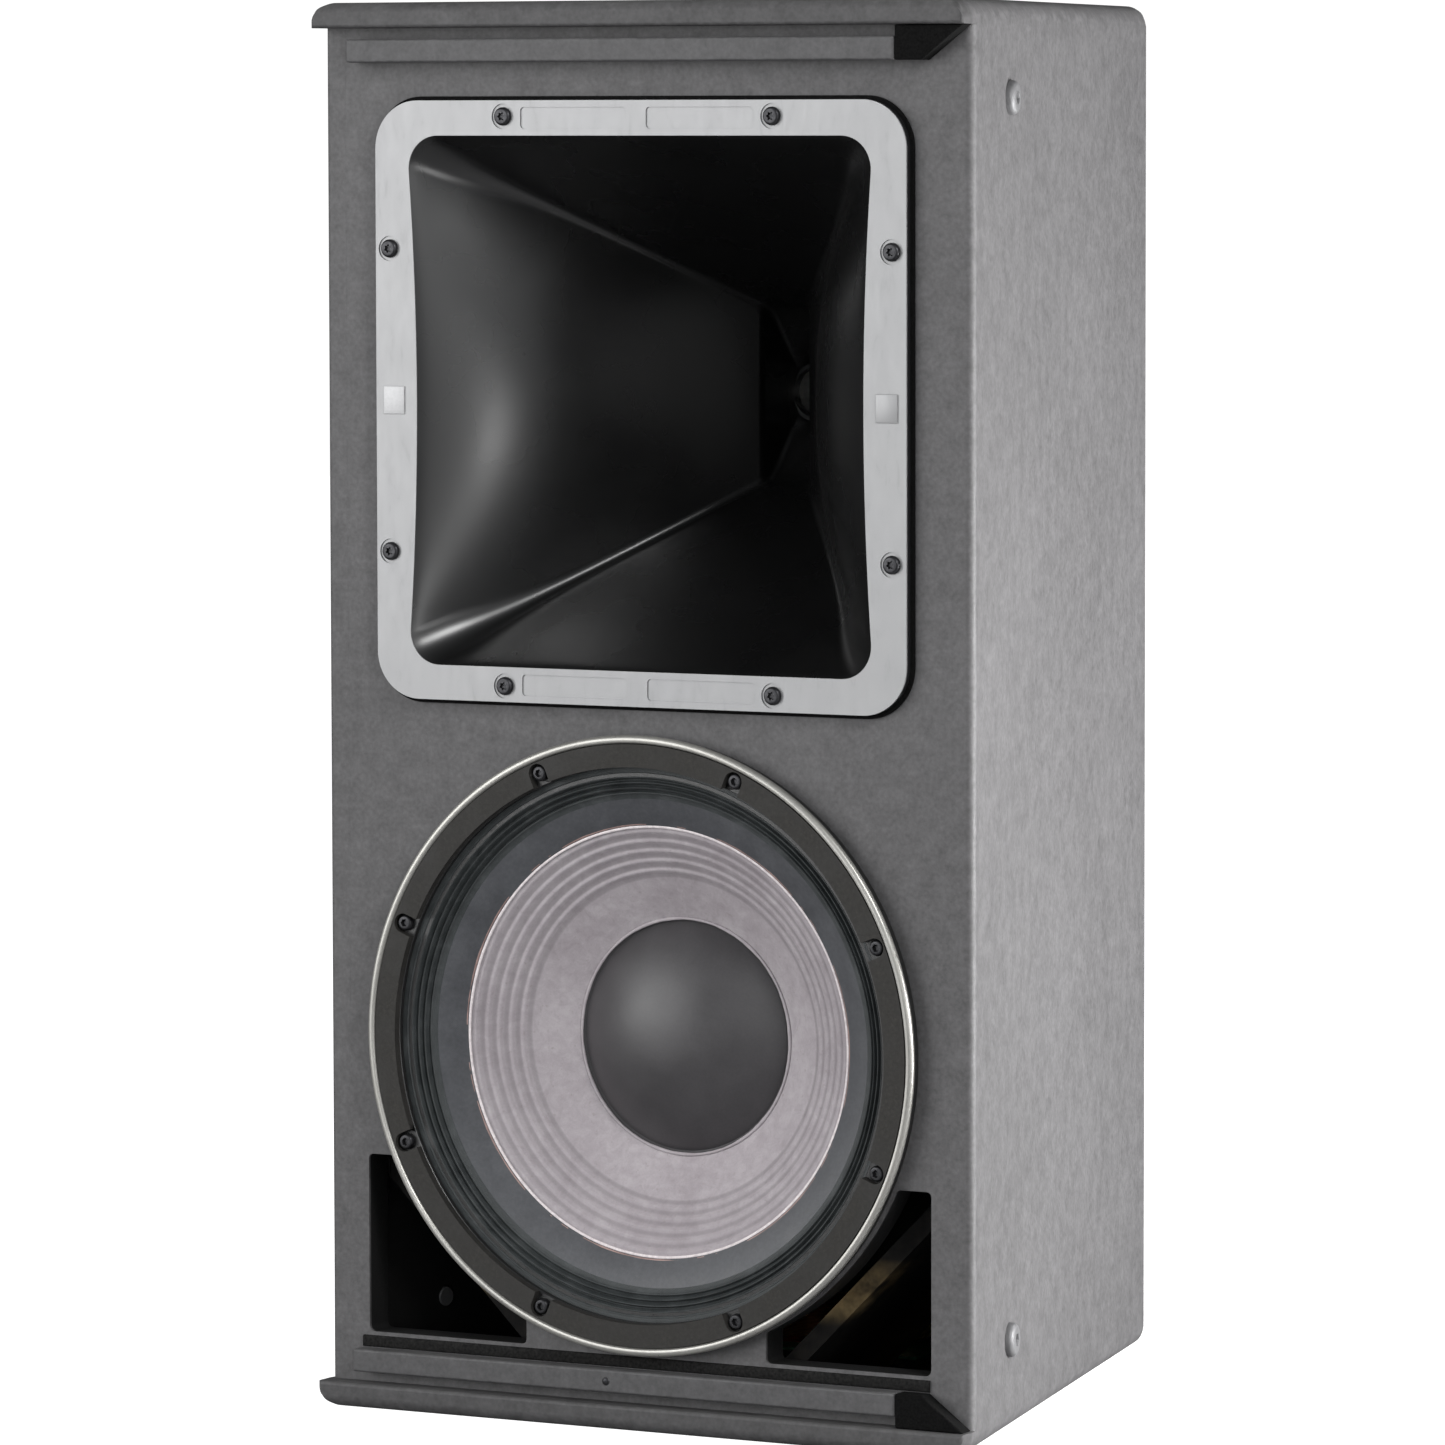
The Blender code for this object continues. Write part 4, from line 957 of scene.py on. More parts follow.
def back_panel():
    front = DEPTH - PANEL
    front_half, back_half = inner_half(front), inner_half(DEPTH)
    part = prism("shell_back", [(-front_half, front), (front_half, front),
                                (back_half, DEPTH), (-back_half, DEPTH)],
                 WALL_LOW, WALL_HIGH, PAINT)
    x, z = PLATE_W / 2 - PLATE_MARGIN, PLATE_H / 2 - PLATE_MARGIN
    window = [(-x, DEPTH - 40), (x, DEPTH - 40), (x, DEPTH + 40), (-x, DEPTH + 40)]
    subtract(part, prism("cutter", window, PLATE_Z - z, PLATE_Z + z, PAINT))
    attach(flat_faces(finish(part, PAINT)), "back_panel")


back_panel()

# ---------------------------------------------------------------------------
# Front baffle
# ---------------------------------------------------------------------------
VENT_IN, VENT_OUT, VENT_LOW, VENT_HIGH = 68.5, 160.5, 38.0, 129.0
VENT_ARC = WOOFER_R + 1.5  # the vents follow the woofer's rim
WOOFER_CUT, HORN_CUT, HORN_CUT_R = 139.5, 136.0 * HORN_SCALE, 12
BAFFLE_HALF = HALF_WIDTH - PANEL_X + 0.05


def round_corners(points, radii, steps):
    """Rounds a polygon's corners, each with its own radius."""
    out = []
    for i, (point, radius) in enumerate(zip(points, radii)):
        before, here = Vector(points[i - 1]), Vector(point)
        after = Vector(points[(i + 1) % len(points)])
        if radius <= 0:
            out.append(tuple(here))
            continue
        back, ahead = (before - here).normalized(), (after - here).normalized()
        half = math.acos(max(-1, min(1, back.dot(ahead)))) / 2
        reach = min(radius / math.tan(half), 0.45 * (before - here).length,
                    0.45 * (after - here).length)
        fitted = reach * math.tan(half)
        centre = here + (back + ahead).normalized() * (fitted / math.sin(half))
        start, end = here + back * reach - centre, here + ahead * reach - centre
        first, last = math.atan2(start.y, start.x), math.atan2(end.y, end.x)
        sweep = (last - first + math.pi) % (2 * math.pi) - math.pi
        for k in range(steps + 1):
            turn = first + sweep * k / steps
            out.append((centre.x + fitted * math.cos(turn), centre.y + fitted * math.sin(turn)))
    return out


def vent_loop(side):
    """A corner opening whose inner upper edge is an arc round the woofer."""
    rise = VENT_HIGH - WOOFER_Z
    last = math.atan2(rise, math.sqrt(VENT_ARC**2 - rise ** 2))
    first = math.atan2(-math.sqrt(VENT_ARC**2 - VENT_IN**2), VENT_IN)
    steps = 30
    turns = [first + (last - first) * i / steps for i in range(steps + 1)]
    arc = [(VENT_ARC * math.cos(a), WOOFER_Z + VENT_ARC * math.sin(a)) for a in turns]
    points = [(VENT_IN, VENT_LOW)] + arc + [(VENT_OUT, VENT_HIGH), (VENT_OUT, VENT_LOW)]
    radii = [2.5, 1.5] + [0] * (len(arc) - 2) + [3.0, 2.5, 3.5]
    return [(side * x, z) for x, z in round_corners(points, radii, 4)]


def baffle():
    half = BAFFLE_HALF
    horn_hole = rounded_rect(HORN_CUT, HORN_CUT, HORN_CUT_R, corner=8, side=12)
    loops = [[(-half, WALL_LOW), (half, WALL_LOW), (half, WALL_HIGH), (-half, WALL_HIGH)],
             shifted(horn_hole, 0, HORN_Z), circle(0, WOOFER_Z, WOOFER_CUT, 200),
             vent_loop(1), vent_loop(-1)]
    part = outline_solid("shell_baffle", loops, 0, BAFFLE_T, PAINT, edge=0.7)
    # the back edge is drawn in to follow the sides
    for vertex in part.data.vertices:
        if abs(vertex.co.x) > (half - 1.2) * MM and vertex.co.y > 0.5 * BAFFLE_T * MM:
            vertex.co.x -= math.copysign(SLOPE * BAFFLE_T * MM, vertex.co.x)
    attach(flat_faces(part), "front_baffle")


baffle()

# ---------------------------------------------------------------------------
# Grille battens
# ---------------------------------------------------------------------------
BATTEN_END = 20.0  # length of the black block at a batten's +X end
PIN_X = -17


def batten(word, up):
    node = f"{word}_grille_batten"
    size, middle = size_and_middle(node)
    low, high = box(node)
    cut = high.x - BATTEN_END
    part = block(f"batten_{word}", (cut - low.x, size.y + 0.3, size.z),
                 ((cut + low.x) / 2, middle.y + 0.15, middle.z), BATTEN_PAINT, 1.3, 4)
    attach(flat_faces(part), node)
    # the black block fills the corner up to the lip; its slope out towards the side, past the
    # batten's end, is a painted shadow
    lip, toe = (WALL_HIGH, low.z) if up > 0 else (WALL_LOW, high.z)
    outline = [(cut + 0.3, lip - up * 0.2), (HALF_WIDTH - 1.2, lip - up * 0.2),
               (high.x - 5, toe), (cut + 0.3, toe)]
    part = outline_solid(f"batten_end_{word}", [outline], low.y + 0.3, 0.0, SEAL,
                         edge=0.8, segments=3)
    attach(flat_faces(part), node)


def shade_strip(low, high):
    """A near-black strip along the top of the bottom batten, slightly uneven in its height:
    painted shade in the corner below the woofer's rim.
    """
    rows = [[] for _ in range(9)]
    for i in range(221):
        x = low.x + 1.0 + (high.x - 6.0 - low.x) * i / 220
        height = 1.3 + (0.12 * math.sin(x * 0.31) + 0.08 * math.sin(x * 0.83 + 1))
        for k, row in enumerate(rows):
            turn = math.pi * k / 8
            row.append((x, -height * math.sin(turn) ** 0.6, high.z + 3.2 - 3.0 * math.cos(turn)))
    mesh = grid_mesh("grille_shade_strip", rows, closed_rows=False, closed_cols=True)
    fill_holes(mesh)
    attach(finish(new_object("grille_shade_strip", mesh), STRIP_SHADE, 50))


def batten_pin(low, high):
    profile = [(0.0, 0.75), (1.0, 0.7), (1.7, 0.45), (2.1, 0.05), (2.1, -0.5), (0.0, -0.5)]
    part = lathe("batten_pin", profile, SCREW, 40, loop=False,
                 axis_z=(low.z + high.z) / 2, y=low.y)
    part.data.transform(Matrix.Translation((PIN_X * MM, 0, 0)))
    attach(part)


batten("top", 1)
batten("bottom", -1)
shade_strip(*box("bottom_grille_batten"))
batten_pin(*box("bottom_grille_batten"))

# ---------------------------------------------------------------------------
# Horn: silver-grey face with its recesses, black bell, seal
# ---------------------------------------------------------------------------
MOUTH_W, MOUTH_H, MOUTH_R = 132.0 * HORN_SCALE, 132.5 * HORN_SCALE, 18.0 * HORN_SCALE  # halves
MOUTH_PINCH, HORN_CORNER_R = 5.5 * HORN_SCALE, 24 * HORN_SCALE
SCREW_RECESS, POCKET_DEPTH = 0.7, 0.65
POCKET_IN, POCKET_OUT, POCKET_MARGIN = 5.5, 66, 3.4
SLOT_W, SLOT_H, SLOT_R = 13.5 * HORN_SCALE, 46.0 * HORN_SCALE, 4.0 * HORN_SCALE  # halves
SLOT_DEPTH, BELL_PINCH = 150.0, 95.0 * HORN_SCALE
THROAT_R, THROAT_BORE = 12.7, 12.9
SEAL_LO, SEAL_HI = box("horn_seal")


def pocket(x0, x1, z0, z1):
    """A cutter for a shallow rounded recess in the horn's face."""
    points = rounded_rect((x1 - x0) / 2, (z1 - z0) / 2, 2.0, corner=5, side=2)
    loop = shifted(points, (x0 + x1) / 2, HORN_Z + (z0 + z1) / 2)
    return outline_solid("cutter", [loop], FACE_Y - 5, FACE_Y + POCKET_DEPTH, HORN_FACE)


def horn_face():
    outer = rounded_rect(HORN_HALF, HORN_HALF, HORN_CORNER_R, corner=20, side=30)
    mouth = rounded_rect(MOUTH_W, MOUTH_H, MOUTH_R, MOUTH_PINCH, corner=20, side=48)
    part = outline_solid("horn_face", [shifted(outer, 0, HORN_Z), shifted(mouth, 0, HORN_Z)],
                         FACE_Y, SEAL_LO.y - 0.05, HORN_FACE)
    cutters = [front_cylinder(x, HORN_Z + z, 6.3, FACE_Y - 5, FACE_Y + SCREW_RECESS, 48)
               for x, z in HORN_SCREWS]
    for up in (1, -1):
        low, high = sorted((up * (MOUTH_H + POCKET_MARGIN), up * (HORN_HALF - POCKET_MARGIN)))
        cutters.append(pocket(-POCKET_OUT, -POCKET_IN, low, high))
        cutters.append(pocket(POCKET_IN, POCKET_OUT, low, high))
    subtract(part, join_cutters(cutters))
    bevel(part, 0.45, 3, 40)
    attach(flat_faces(finish(part, HORN_FACE, 30)), "horn_waveguide")


def bell_ring(t):
    """The bell's section: mouth at t = 0, slot at t = 1, upright walls bowed in between."""
    half_w = (MOUTH_W - 0.6) * (1 - t) + SLOT_W * t
    half_h = (MOUTH_H - 0.6) * (1 - t) + SLOT_H * t
    radius = (SLOT_R + (MOUTH_R - 0.6 - SLOT_R) * (1 - t) ** 3
              + 1500.0 * HORN_SCALE * t * t * math.exp(-t / 0.07))
    pinch = MOUTH_PINCH * (1 - t) ** 1.5 + BELL_PINCH * t * (1 - t) ** 2
    return rounded_rect(half_w, half_h, min(radius, half_w - 0.5, half_h - 0.5), pinch,
                        corner=20, side=44)


def horn_bell():
    """From the mouth to the slot and on to the round throat."""
    rows = []
    bell_front = FACE_Y + 0.5
    for i in range(61):
        t = (i / 60) ** 1.15
        y = bell_front + (SLOT_DEPTH - bell_front) * t
        curl = 0.6 * math.exp(-i / 1.2)  # the first rings curl out into the face
        rows.append([(x * (1 + curl / MOUTH_W), y, HORN_Z + z * (1 + curl / MOUTH_H))
                     for x, z in bell_ring(t)])
    slot_ring = bell_ring(1.0)
    for k in range(1, 13):
        t = k / 12
        share = t * t * (3 - 2 * t)
        y = SLOT_DEPTH + (HORN_DEPTH - SLOT_DEPTH) * t
        row = []
        for x, z in slot_ring:
            turn = math.atan2(z / SLOT_H, x / SLOT_W)
            round_x, round_z = THROAT_R * math.cos(turn), THROAT_R * math.sin(turn)
            row.append((x + (round_x - x) * share, y, HORN_Z + z + (round_z - z) * share))
        rows.append(row)
    mesh = grid_mesh("horn_bell", rows)
    part = new_object("horn_bell", mesh)
    with editing(mesh) as bm:
        bmesh.ops.recalc_face_normals(bm, faces=bm.faces)
        # the normals are turned to face the horn's axis
        face = max(bm.faces, key=lambda f: -f.calc_center_median().y)
        centre = face.calc_center_median()
        if face.normal.dot(Vector((-centre.x, 0, HORN_Z * MM - centre.z))) < 0:
            bmesh.ops.reverse_faces(bm, faces=bm.faces)
    modifier = part.modifiers.new("wall", "SOLIDIFY")
    modifier.thickness, modifier.offset = 3.2 * MM, -1.0
    modifier.use_even_offset = False
    freeze(part)
    attach(finish(part, HORN_BLACK, 40, recalc=False), "horn_waveguide")


def horn_gasket():
    half = (SEAL_HI.x - SEAL_LO.x) / 2
    outer = rounded_rect(half, half, HORN_CORNER_R + half - HORN_HALF, corner=16, side=20)
    inner = rounded_rect(HORN_CUT + 0.5, HORN_CUT + 0.5, HORN_CUT_R + 0.5, corner=8, side=12)
    part = outline_solid("horn_gasket", [shifted(outer, 0, HORN_Z), shifted(inner, 0, HORN_Z)],
                         SEAL_LO.y, 0.0, SEAL, edge=0.3)
    attach(part, "horn_seal")


horn_face()
# small blank plates in the middle of the face's two upright sides
for side, word, mat in ((-1, "left", BADGE), (1, "right", HORN_FACE)):
    x = side * (MOUTH_W - MOUTH_PINCH + HORN_HALF) / 2 + side * 1.2
    attach(block(f"horn_blank_plate_{word}", (12.0, 0.9, 14.0), (x, FACE_Y - 0.25, HORN_Z),
                 mat, 0.3, 3))
horn_bell()
flange = [(THROAT_BORE, 6), (45, 6), (46, 5), (46, 0.6), (45.4, 0), (THROAT_BORE, 0)]
attach(lathe("horn_throat_flange", [(radius, rise - HORN_DEPTH) for radius, rise in flange],
             HORN_BLACK, 96, axis_z=HORN_Z))
horn_gasket()


# ---------------------------------------------------------------------------
# Screws
# ---------------------------------------------------------------------------
def recess_radius(kind, angle, size):
    """Outline of a driver recess, as a radius at an angle."""
    if kind == "hex":
        off = (angle % math.radians(60)) - math.radians(30)
        return size / math.cos(off)
    if kind == "cross":
        off = ((angle + math.pi / 4) % (math.pi / 2)) - math.pi / 4
        return min(size / max(math.cos(off), 1e-6), size * 0.30 / max(abs(math.sin(off)), 1e-6))
    return size * (1 + 0.16 * math.cos(6 * angle))


def screw_mesh(name, head_r, head_h, recess, size, depth, shank_r, length, sides=72, mat=SCREW):
    """A screw along local +Z, its head's seat at the origin.

    size and depth are the recess's."""
    turns = [2 * math.pi * i / sides for i in range(sides)]
    rows = []

    def row(z, radii):
        rows.append([(r * math.cos(a), r * math.sin(a), z) for r, a in zip(radii, turns)])

    def round_row(z, radius):
        row(z, [radius] * sides)

    wall = [recess_radius(recess, a, size) for a in turns]
    round_row(head_h - depth, 0.15)
    row(head_h - depth, [r * 0.86 for r in wall])
    row(head_h - 0.16, wall)
    row(head_h, [r + 0.14 for r in wall])
    row(head_h - 0.02, [max(head_r * 0.66, r + 0.3) for r in wall])
    for k in range(1, 8):
        turn = math.radians(90 * k / 7)
        round_row(0.35 * head_h + 0.65 * head_h * math.cos(turn),
                  head_r * 0.66 + head_r * 0.34 * math.sin(turn))
    round_row(0.12, head_r)
    round_row(0.0, head_r - 0.12)
    round_row(0.0, shank_r + 0.3)
    round_row(-0.4, shank_r)
    pitch, thread_depth = 1.4, 0.35
    for k in range(int(length / pitch * 2)):
        round_row(-0.6 - k * pitch / 2, shank_r - (thread_depth if k % 2 else 0.0))
    round_row(-length, shank_r * 0.3)
    mesh = grid_mesh(name, rows)
    fill_holes(mesh)
    return dress(mesh, mat, 38)


def put_screw(name, mesh, seat, direction, spin, stands_for=None):
    part = new_object(name, mesh)
    part.matrix_world = (Matrix.Translation(Vector(seat) * MM) @ direction
                         @ Matrix.Rotation(spin, 4, "Z"))
    attach(part, stands_for)


horn_screw = screw_mesh("horn_screw_mesh", head_r=4.6, head_h=2.5, recess="torx", size=1.75,
                        depth=1.5, shank_r=1.9, length=21)
for i, (x, z) in enumerate(HORN_SCREWS):
    put_screw(f"horn_bolt_{i + 1}", horn_screw, (x, FACE_Y + SCREW_RECESS, HORN_Z + z),
              TURN_FRONT, 1.1 * i, f"horn_screw_{i + 1}")

# ---------------------------------------------------------------------------
# Woofer frame and gasket
# ---------------------------------------------------------------------------
RIM_FACE = 4.8  # height of the rim's face in front of the baffle
# (radius beyond the woofer's, height)
RIM_PROFILE = [
    (-1.6, 0.0), (-0.6, 0.25), (-0.1, 0.9), (0, 1.6), (0, 5.6), (0.5, 6.1), (1.0, 6.9),
    (1.2, 7.8), (1.1, 8.6), (0.7, 9.4), (0.1, 9.9), (-0.7, 10.2), (-1.5, 10.2), (-2.2, 10.0),
    (-2.6, 9.6), (-2.9, 9.0), (-3.1, 8.0), (-3.2, RIM_FACE), (-14.6, RIM_FACE),
    (-15.0, RIM_FACE - 0.4), (-15.1, 1.2), (-15.4, 1.0), (-20.1, 1.0), (-20.5, 0.6),
    (-20.5, -15.0), (-15.6, -15.0), (-15.4, 0.0)]
# (radius, height) down the middle of the basket's wall
BASKET_LINE = [
    (136.0, -14.0), (135.6, -19.0), (132.0, -24.0), (126.5, -31.0), (119.0, -40.0),
    (111.0, -49.5), (103.5, -58.5), (97.0, -66.5), (91.5, -73.0), (87.0, -77.5)]
BASKET_SEAT = [(91, -66.8), (80, -66.8), (80, -76), (44, -76), (44, -83.7), (86, -83.7),
               (88.0, -82.5), (89.5, -79), (92, -72)]
WINDOW_HALF, WINDOW_BACK, WINDOW_FRONT = 31, -60, -22
GASKET_FRONT = GASKET_LO.y + 0.6
NOTCH_R, NOTCH_HALF, NOTCH_OPEN_R = 145.2, 4.9, 134.0


def woofer_rim():
    profile = [(WOOFER_R + offset, height) for offset, height in RIM_PROFILE]
    part = lathe("woofer_rim", profile, RIM_BLACK, 256, angle=28)
    subtract(part, join_cutters([front_cylinder(x, WOOFER_Z + z, 2.7, -30, 10, 32)
                                 for x, z in WOOFER_SCREWS]))
    attach(finish(part, RIM_BLACK, 28), "woofer_basket")


def basket_arms():
    """The cast basket, with six windows."""
    count = 180
    turns = [2 * math.pi * i / count for i in range(count)]
    mesh = bpy.data.meshes.new("woofer_basket_arms")
    with editing(mesh) as bm:
        grid = [[bm.verts.new(Vector((r * math.cos(a), -h, WOOFER_Z + r * math.sin(a))) * MM)
                 for a in turns] for r, h in BASKET_LINE]
        for k in range(len(grid) - 1):
            height = (BASKET_LINE[k][1] + BASKET_LINE[k + 1][1]) / 2
            radius = (BASKET_LINE[k][0] + BASKET_LINE[k + 1][0]) / 2
            for i in range(count):
                degrees = math.degrees(2 * math.pi * (i + 0.5) / count)
                off = abs((degrees + 30) % 60 - 30)
                if (WINDOW_BACK < height < WINDOW_FRONT
                        and off < math.degrees(math.asin(WINDOW_HALF / radius))):
                    continue
                j = (i + 1) % count
                bm.faces.new((grid[k][i], grid[k][j], grid[k + 1][j], grid[k + 1][i]))
        loose = [v for v in bm.verts if not v.link_faces]
        bmesh.ops.delete(bm, geom=loose, context="VERTS")
        bmesh.ops.recalc_face_normals(bm, faces=bm.faces)
    part = new_object("woofer_basket_arms", mesh)
    modifier = part.modifiers.new("wall", "SOLIDIFY")
    modifier.thickness, modifier.offset = 4.0 * MM, 0.0
    freeze(part)
    bevel(part, 0.8, 2, 50)
    attach(finish(part, CAST, 40), "woofer_basket")


def woofer_gasket():
    """A ring with U-shaped notches for the screws, open towards the cone."""
    loops = [circle(0, WOOFER_Z, min(GASKET_R, WOOFER_R - 3.3), 240),
             circle(0, WOOFER_Z, 139.2, 240)]
    part = outline_solid("woofer_gasket_ring", loops, GASKET_FRONT, -RIM_FACE, GASKET_BOARD)
    notches = []
    for x, z in WOOFER_SCREWS:
        turn = math.atan2(z, x)
        out = Vector((math.cos(turn), math.sin(turn)))
        across = Vector((-out.y, out.x))
        points = []
        for k in range(13):
            bend = -math.pi / 2 + math.pi * k / 12
            points.append(out * (NOTCH_R + NOTCH_HALF * math.cos(bend))
                          + across * (NOTCH_HALF * math.sin(bend)))
        points.append(out * NOTCH_OPEN_R + across * NOTCH_HALF)
        points.append(out * NOTCH_OPEN_R - across * NOTCH_HALF)
        notches.append(outline_solid("cutter", [shifted(points, 0, WOOFER_Z)],
                                     GASKET_FRONT - 3, -RIM_FACE, GASKET_BOARD))
    subtract(part, join_cutters(notches))
    bevel(part, 0.55, 3, 50)
    attach(flat_faces(finish(part, GASKET_BOARD, 35)), "woofer_gasket")


woofer_rim()
basket_arms()
attach(lathe("woofer_basket_seat", BASKET_SEAT, CAST, 128))
woofer_gasket()
woofer_screw = screw_mesh("woofer_screw_mesh", head_r=4.1, head_h=3.4, recess="hex", size=1.7,
                          depth=1.9, shank_r=2.2, length=24)
for i, (x, z) in enumerate(WOOFER_SCREWS):
    put_screw(f"woofer_bolt_{i + 1}", woofer_screw, (x, -RIM_FACE, WOOFER_Z + z),
              TURN_FRONT, 0.7 * i, f"woofer_screw_{i + 1}")


# ---------------------------------------------------------------------------
# The moving parts of the woofer
# ---------------------------------------------------------------------------
def blend_ring(part):
    """Bakes the ring's placement into its mesh and reads its points, in mm."""
    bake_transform(part)
    points = np.empty(len(part.data.vertices) * 3)
    part.data.vertices.foreach_get("co", points)
    points = points.reshape(-1, 3) / MM


def sheet(top, thickness):
    """A closed profile from an open top line, with its thickness below."""
    under = []
    for i, (radius, height) in enumerate(top):
        before, after = top[max(i - 1, 0)], top[min(i + 1, len(top) - 1)]
        span = math.hypot(after[0] - before[0], after[1] - before[1]) or 1
        out, up = (after[1] - before[1]) / span, -(after[0] - before[0]) / span
        if up > 0:
            out, up = -out, -up
        under.append((radius + out * thickness, height + up * thickness))
    return top + under[::-1]


def bead(name, radius, height, size, mat, lump, segments=256):
    """A slightly lumpy ring of glue or paper."""
    steps = [2 * math.pi * i / 10 for i in range(10)]
    profile = [(radius + size * math.cos(a), height + size * 0.8 * math.sin(a)) for a in steps]

    def vary(r, h, a):
        swell = 1 + lump * (math.sin(7 * a + 1) * 0.5 + math.sin(23 * a) * 0.3
                            + math.sin(61 * a + 2) * 0.2)
        return radius + (r - radius) * swell, height + (h - height) * swell

    return lathe(name, profile, mat, segments, vary=vary, angle=80)


def surround():
    """Corrugated cloth between the gasket and the band on the cone."""
    rolls, outer_r, inner_r, wave_height = 4.5, 137.2, 124.6, 1.25
    top = [(139.0, 1.75), (138.1, 1.8)]
    for i in range(61):
        s = i / 60
        base = 1.7 + (-4.3 - 1.7) * s
        swell = min(1.0, s * 6, (1 - s) * 6)
        top.append((outer_r + (inner_r - outer_r) * s,
                    base + wave_height * swell * math.sin(2 * math.pi * rolls * s)))
    top += [(124.0, -4.7), (122.6, -5.3)]
    part = lathe("surround_rolls", sheet(top, 0.7), SURROUND, 256, angle=60)
    attach(part, "woofer_surround", body=None)
    blend_ring(part)


def cone_band():
    """The doped band, slightly arched."""
    top = []
    for i in range(25):
        s = i / 24
        top.append((124.4 + (108.6 - 124.4) * s,
                    -4.75 + (-12.05 + 4.75) * s + 0.5 * math.sin(math.pi * s)))
    part = lathe("cone_band", sheet(top, 0.55), LAND, 256, angle=60)
    attach(part, body="woofer_moving")


def cone():
    """The ribbed paper cone; it steepens towards the middle."""
    ribs = [RIB_OUTER_R - RIB_PITCH * k for k in range(5)]
    rib_height, rib_half = 0.9, 2.0
    outer_r, inner_r, bend_r, steps = 108.0, 40.2, 58, 150
    top = [(123.0, -6.1), (115, -9.8), (109.4, -12.9)]
    for i in range(steps + 1):
        radius = outer_r + (inner_r - outer_r) * i / steps
        if radius > bend_r:
            height = -13.0 - 0.616 * (outer_r - radius)
        else:
            height = -43.8 - 0.663 * (bend_r - radius)
        rise = 0.0
        for rib in ribs:
            off = abs(radius - rib)
            if off < rib_half:
                rise = rib_height * (0.5 + 0.5 * math.cos(math.pi * off / rib_half))
        top.append((radius, height + rise))
    part = lathe("cone", sheet(top, 0.9), CONE_PAPER, 256, angle=60)
    attach(part, "woofer_cone", body="woofer_moving")


def dust_cap():
    """A shallow dome with a small flange glued to the cone."""
    front, rise = -CAP_LO.y, 22.0
    sphere = (CAP_R**2 + rise**2) / (2 * rise)
    half = math.asin(CAP_R / sphere)
    dome = [(0.0, front)]
    for i in range(1, 41):
        turn = half * i / 40
        dome.append((sphere * math.sin(turn), front + sphere * (math.cos(turn) - 1)))
    rim = dome[-1][1] + 0.1
    dome[-1] = (CAP_R - 0.1, rim)
    edge = rim + 0.85
    flange = [(CAP_R + 0.5, rim - 0.5), (CAP_R + 1.6, rim + 0.55), (CAP_R + 2.2, edge)]
    under = [(CAP_R + 1.8, edge - 0.6), (CAP_R - 1.5, rim - 1.0)]
    under += [(radius * 0.985, height - 0.9) for radius, height in reversed(dome[1:39])]
    under.append((0.0, front - 0.9))
    part = lathe("dust_cap", dome + flange + under, DUST_CAP, 200, loop=False, angle=60)
    attach(part, "woofer_dust_cap", body="woofer_moving")
    attach(bead("dust_cap_glue", CAP_R + 2.1, edge - 0.15, 0.8, CONE_PAPER, lump=0.3,
                segments=200), body="woofer_moving")


def spider():
    """A corrugated disc behind the cone."""
    rolls, outer_r, inner_r = 8, 90.0, 39.6
    top = []
    for i in range(97):
        s = i / 96
        swell = min(1.0, s * 10, (1 - s) * 8)
        top.append((outer_r + (inner_r - outer_r) * s,
                    -65.2 + 1.4 * s + swell * math.sin(2 * math.pi * rolls * s)))
    part = lathe("spider_rolls", sheet(top, 0.6), SPIDER, 160, angle=60)
    attach(part, "woofer_spider", body=None)
    blend_ring(part)


surround()
cone_band()
attach(bead("cone_glue_line", 109.6, -12.15, 0.75, GLUE, lump=0.25), body="woofer_moving")
attach(bead("cone_edge_bead", 108.1, -12.55, 0.8, CONE_EDGE, lump=0.1),
       body="woofer_moving")
cone()
dust_cap()
spider()
COIL_PROFILE = [(38.0, -57.5), (38.5, -57.5), (38.5, -85), (39.3, -85.4), (39.3, -99.6),
                (38.5, -100), (38.0, -100)]
attach(lathe("voice_coil_former", COIL_PROFILE, COIL, 128), "woofer_voice_coil",
       body="woofer_moving")

# ---------------------------------------------------------------------------
# Rigging screws in the sides
# ---------------------------------------------------------------------------
RIG_HEAD_H = 4.2
rigging_screw = screw_mesh("rigging_screw_mesh", head_r=8.6, head_h=RIG_HEAD_H, recess="hex",
                           size=3.0, depth=2.6, shank_r=5.0, length=14, mat=RIGGING)
for side, word in SIDES:
    out = Vector((side * OUT_X, OUT_Y, 0))
    direction = (Matrix.Rotation(math.atan2(out.y, out.x), 4, "Z")
                 @ Matrix.Rotation(math.radians(90), 4, "Y"))
    for end in ("upper", "lower"):
        node = f"{word}_{end}_rigging_plug"
        # the seat is measured inward from the plug's outermost face
        points = [v.co / MM for v in NODES[node].data.vertices]
        tip = max(point.dot(out) for point in points)
        outermost = [point for point in points if point.dot(out) > tip - 0.01]
        seat = sum(outermost, Vector()) / len(outermost) - out * (RIG_HEAD_H + 0.3)
        put_screw(f"rigging_screw_{word}_{end}", rigging_screw, seat, direction, 0.4, node)

# ---------------------------------------------------------------------------
# Input plate, sockets, switch
# ---------------------------------------------------------------------------
SOCKET_Z = {word: size_and_middle(f"{word}_speaker_socket")[1].z for word in ("upper", "lower")}
SWITCH_SIZE, SWITCH_MIDDLE = size_and_middle("mode_switch")
SWITCH_LO, SWITCH_HI = box("mode_switch")
PLATE_SCREWS = [(sx * (PLATE_W / 2 - 6), PLATE_Z + sz * (PLATE_H / 2 - 6))
                for sx in (-1, 1) for sz in (-1, 0, 1)]
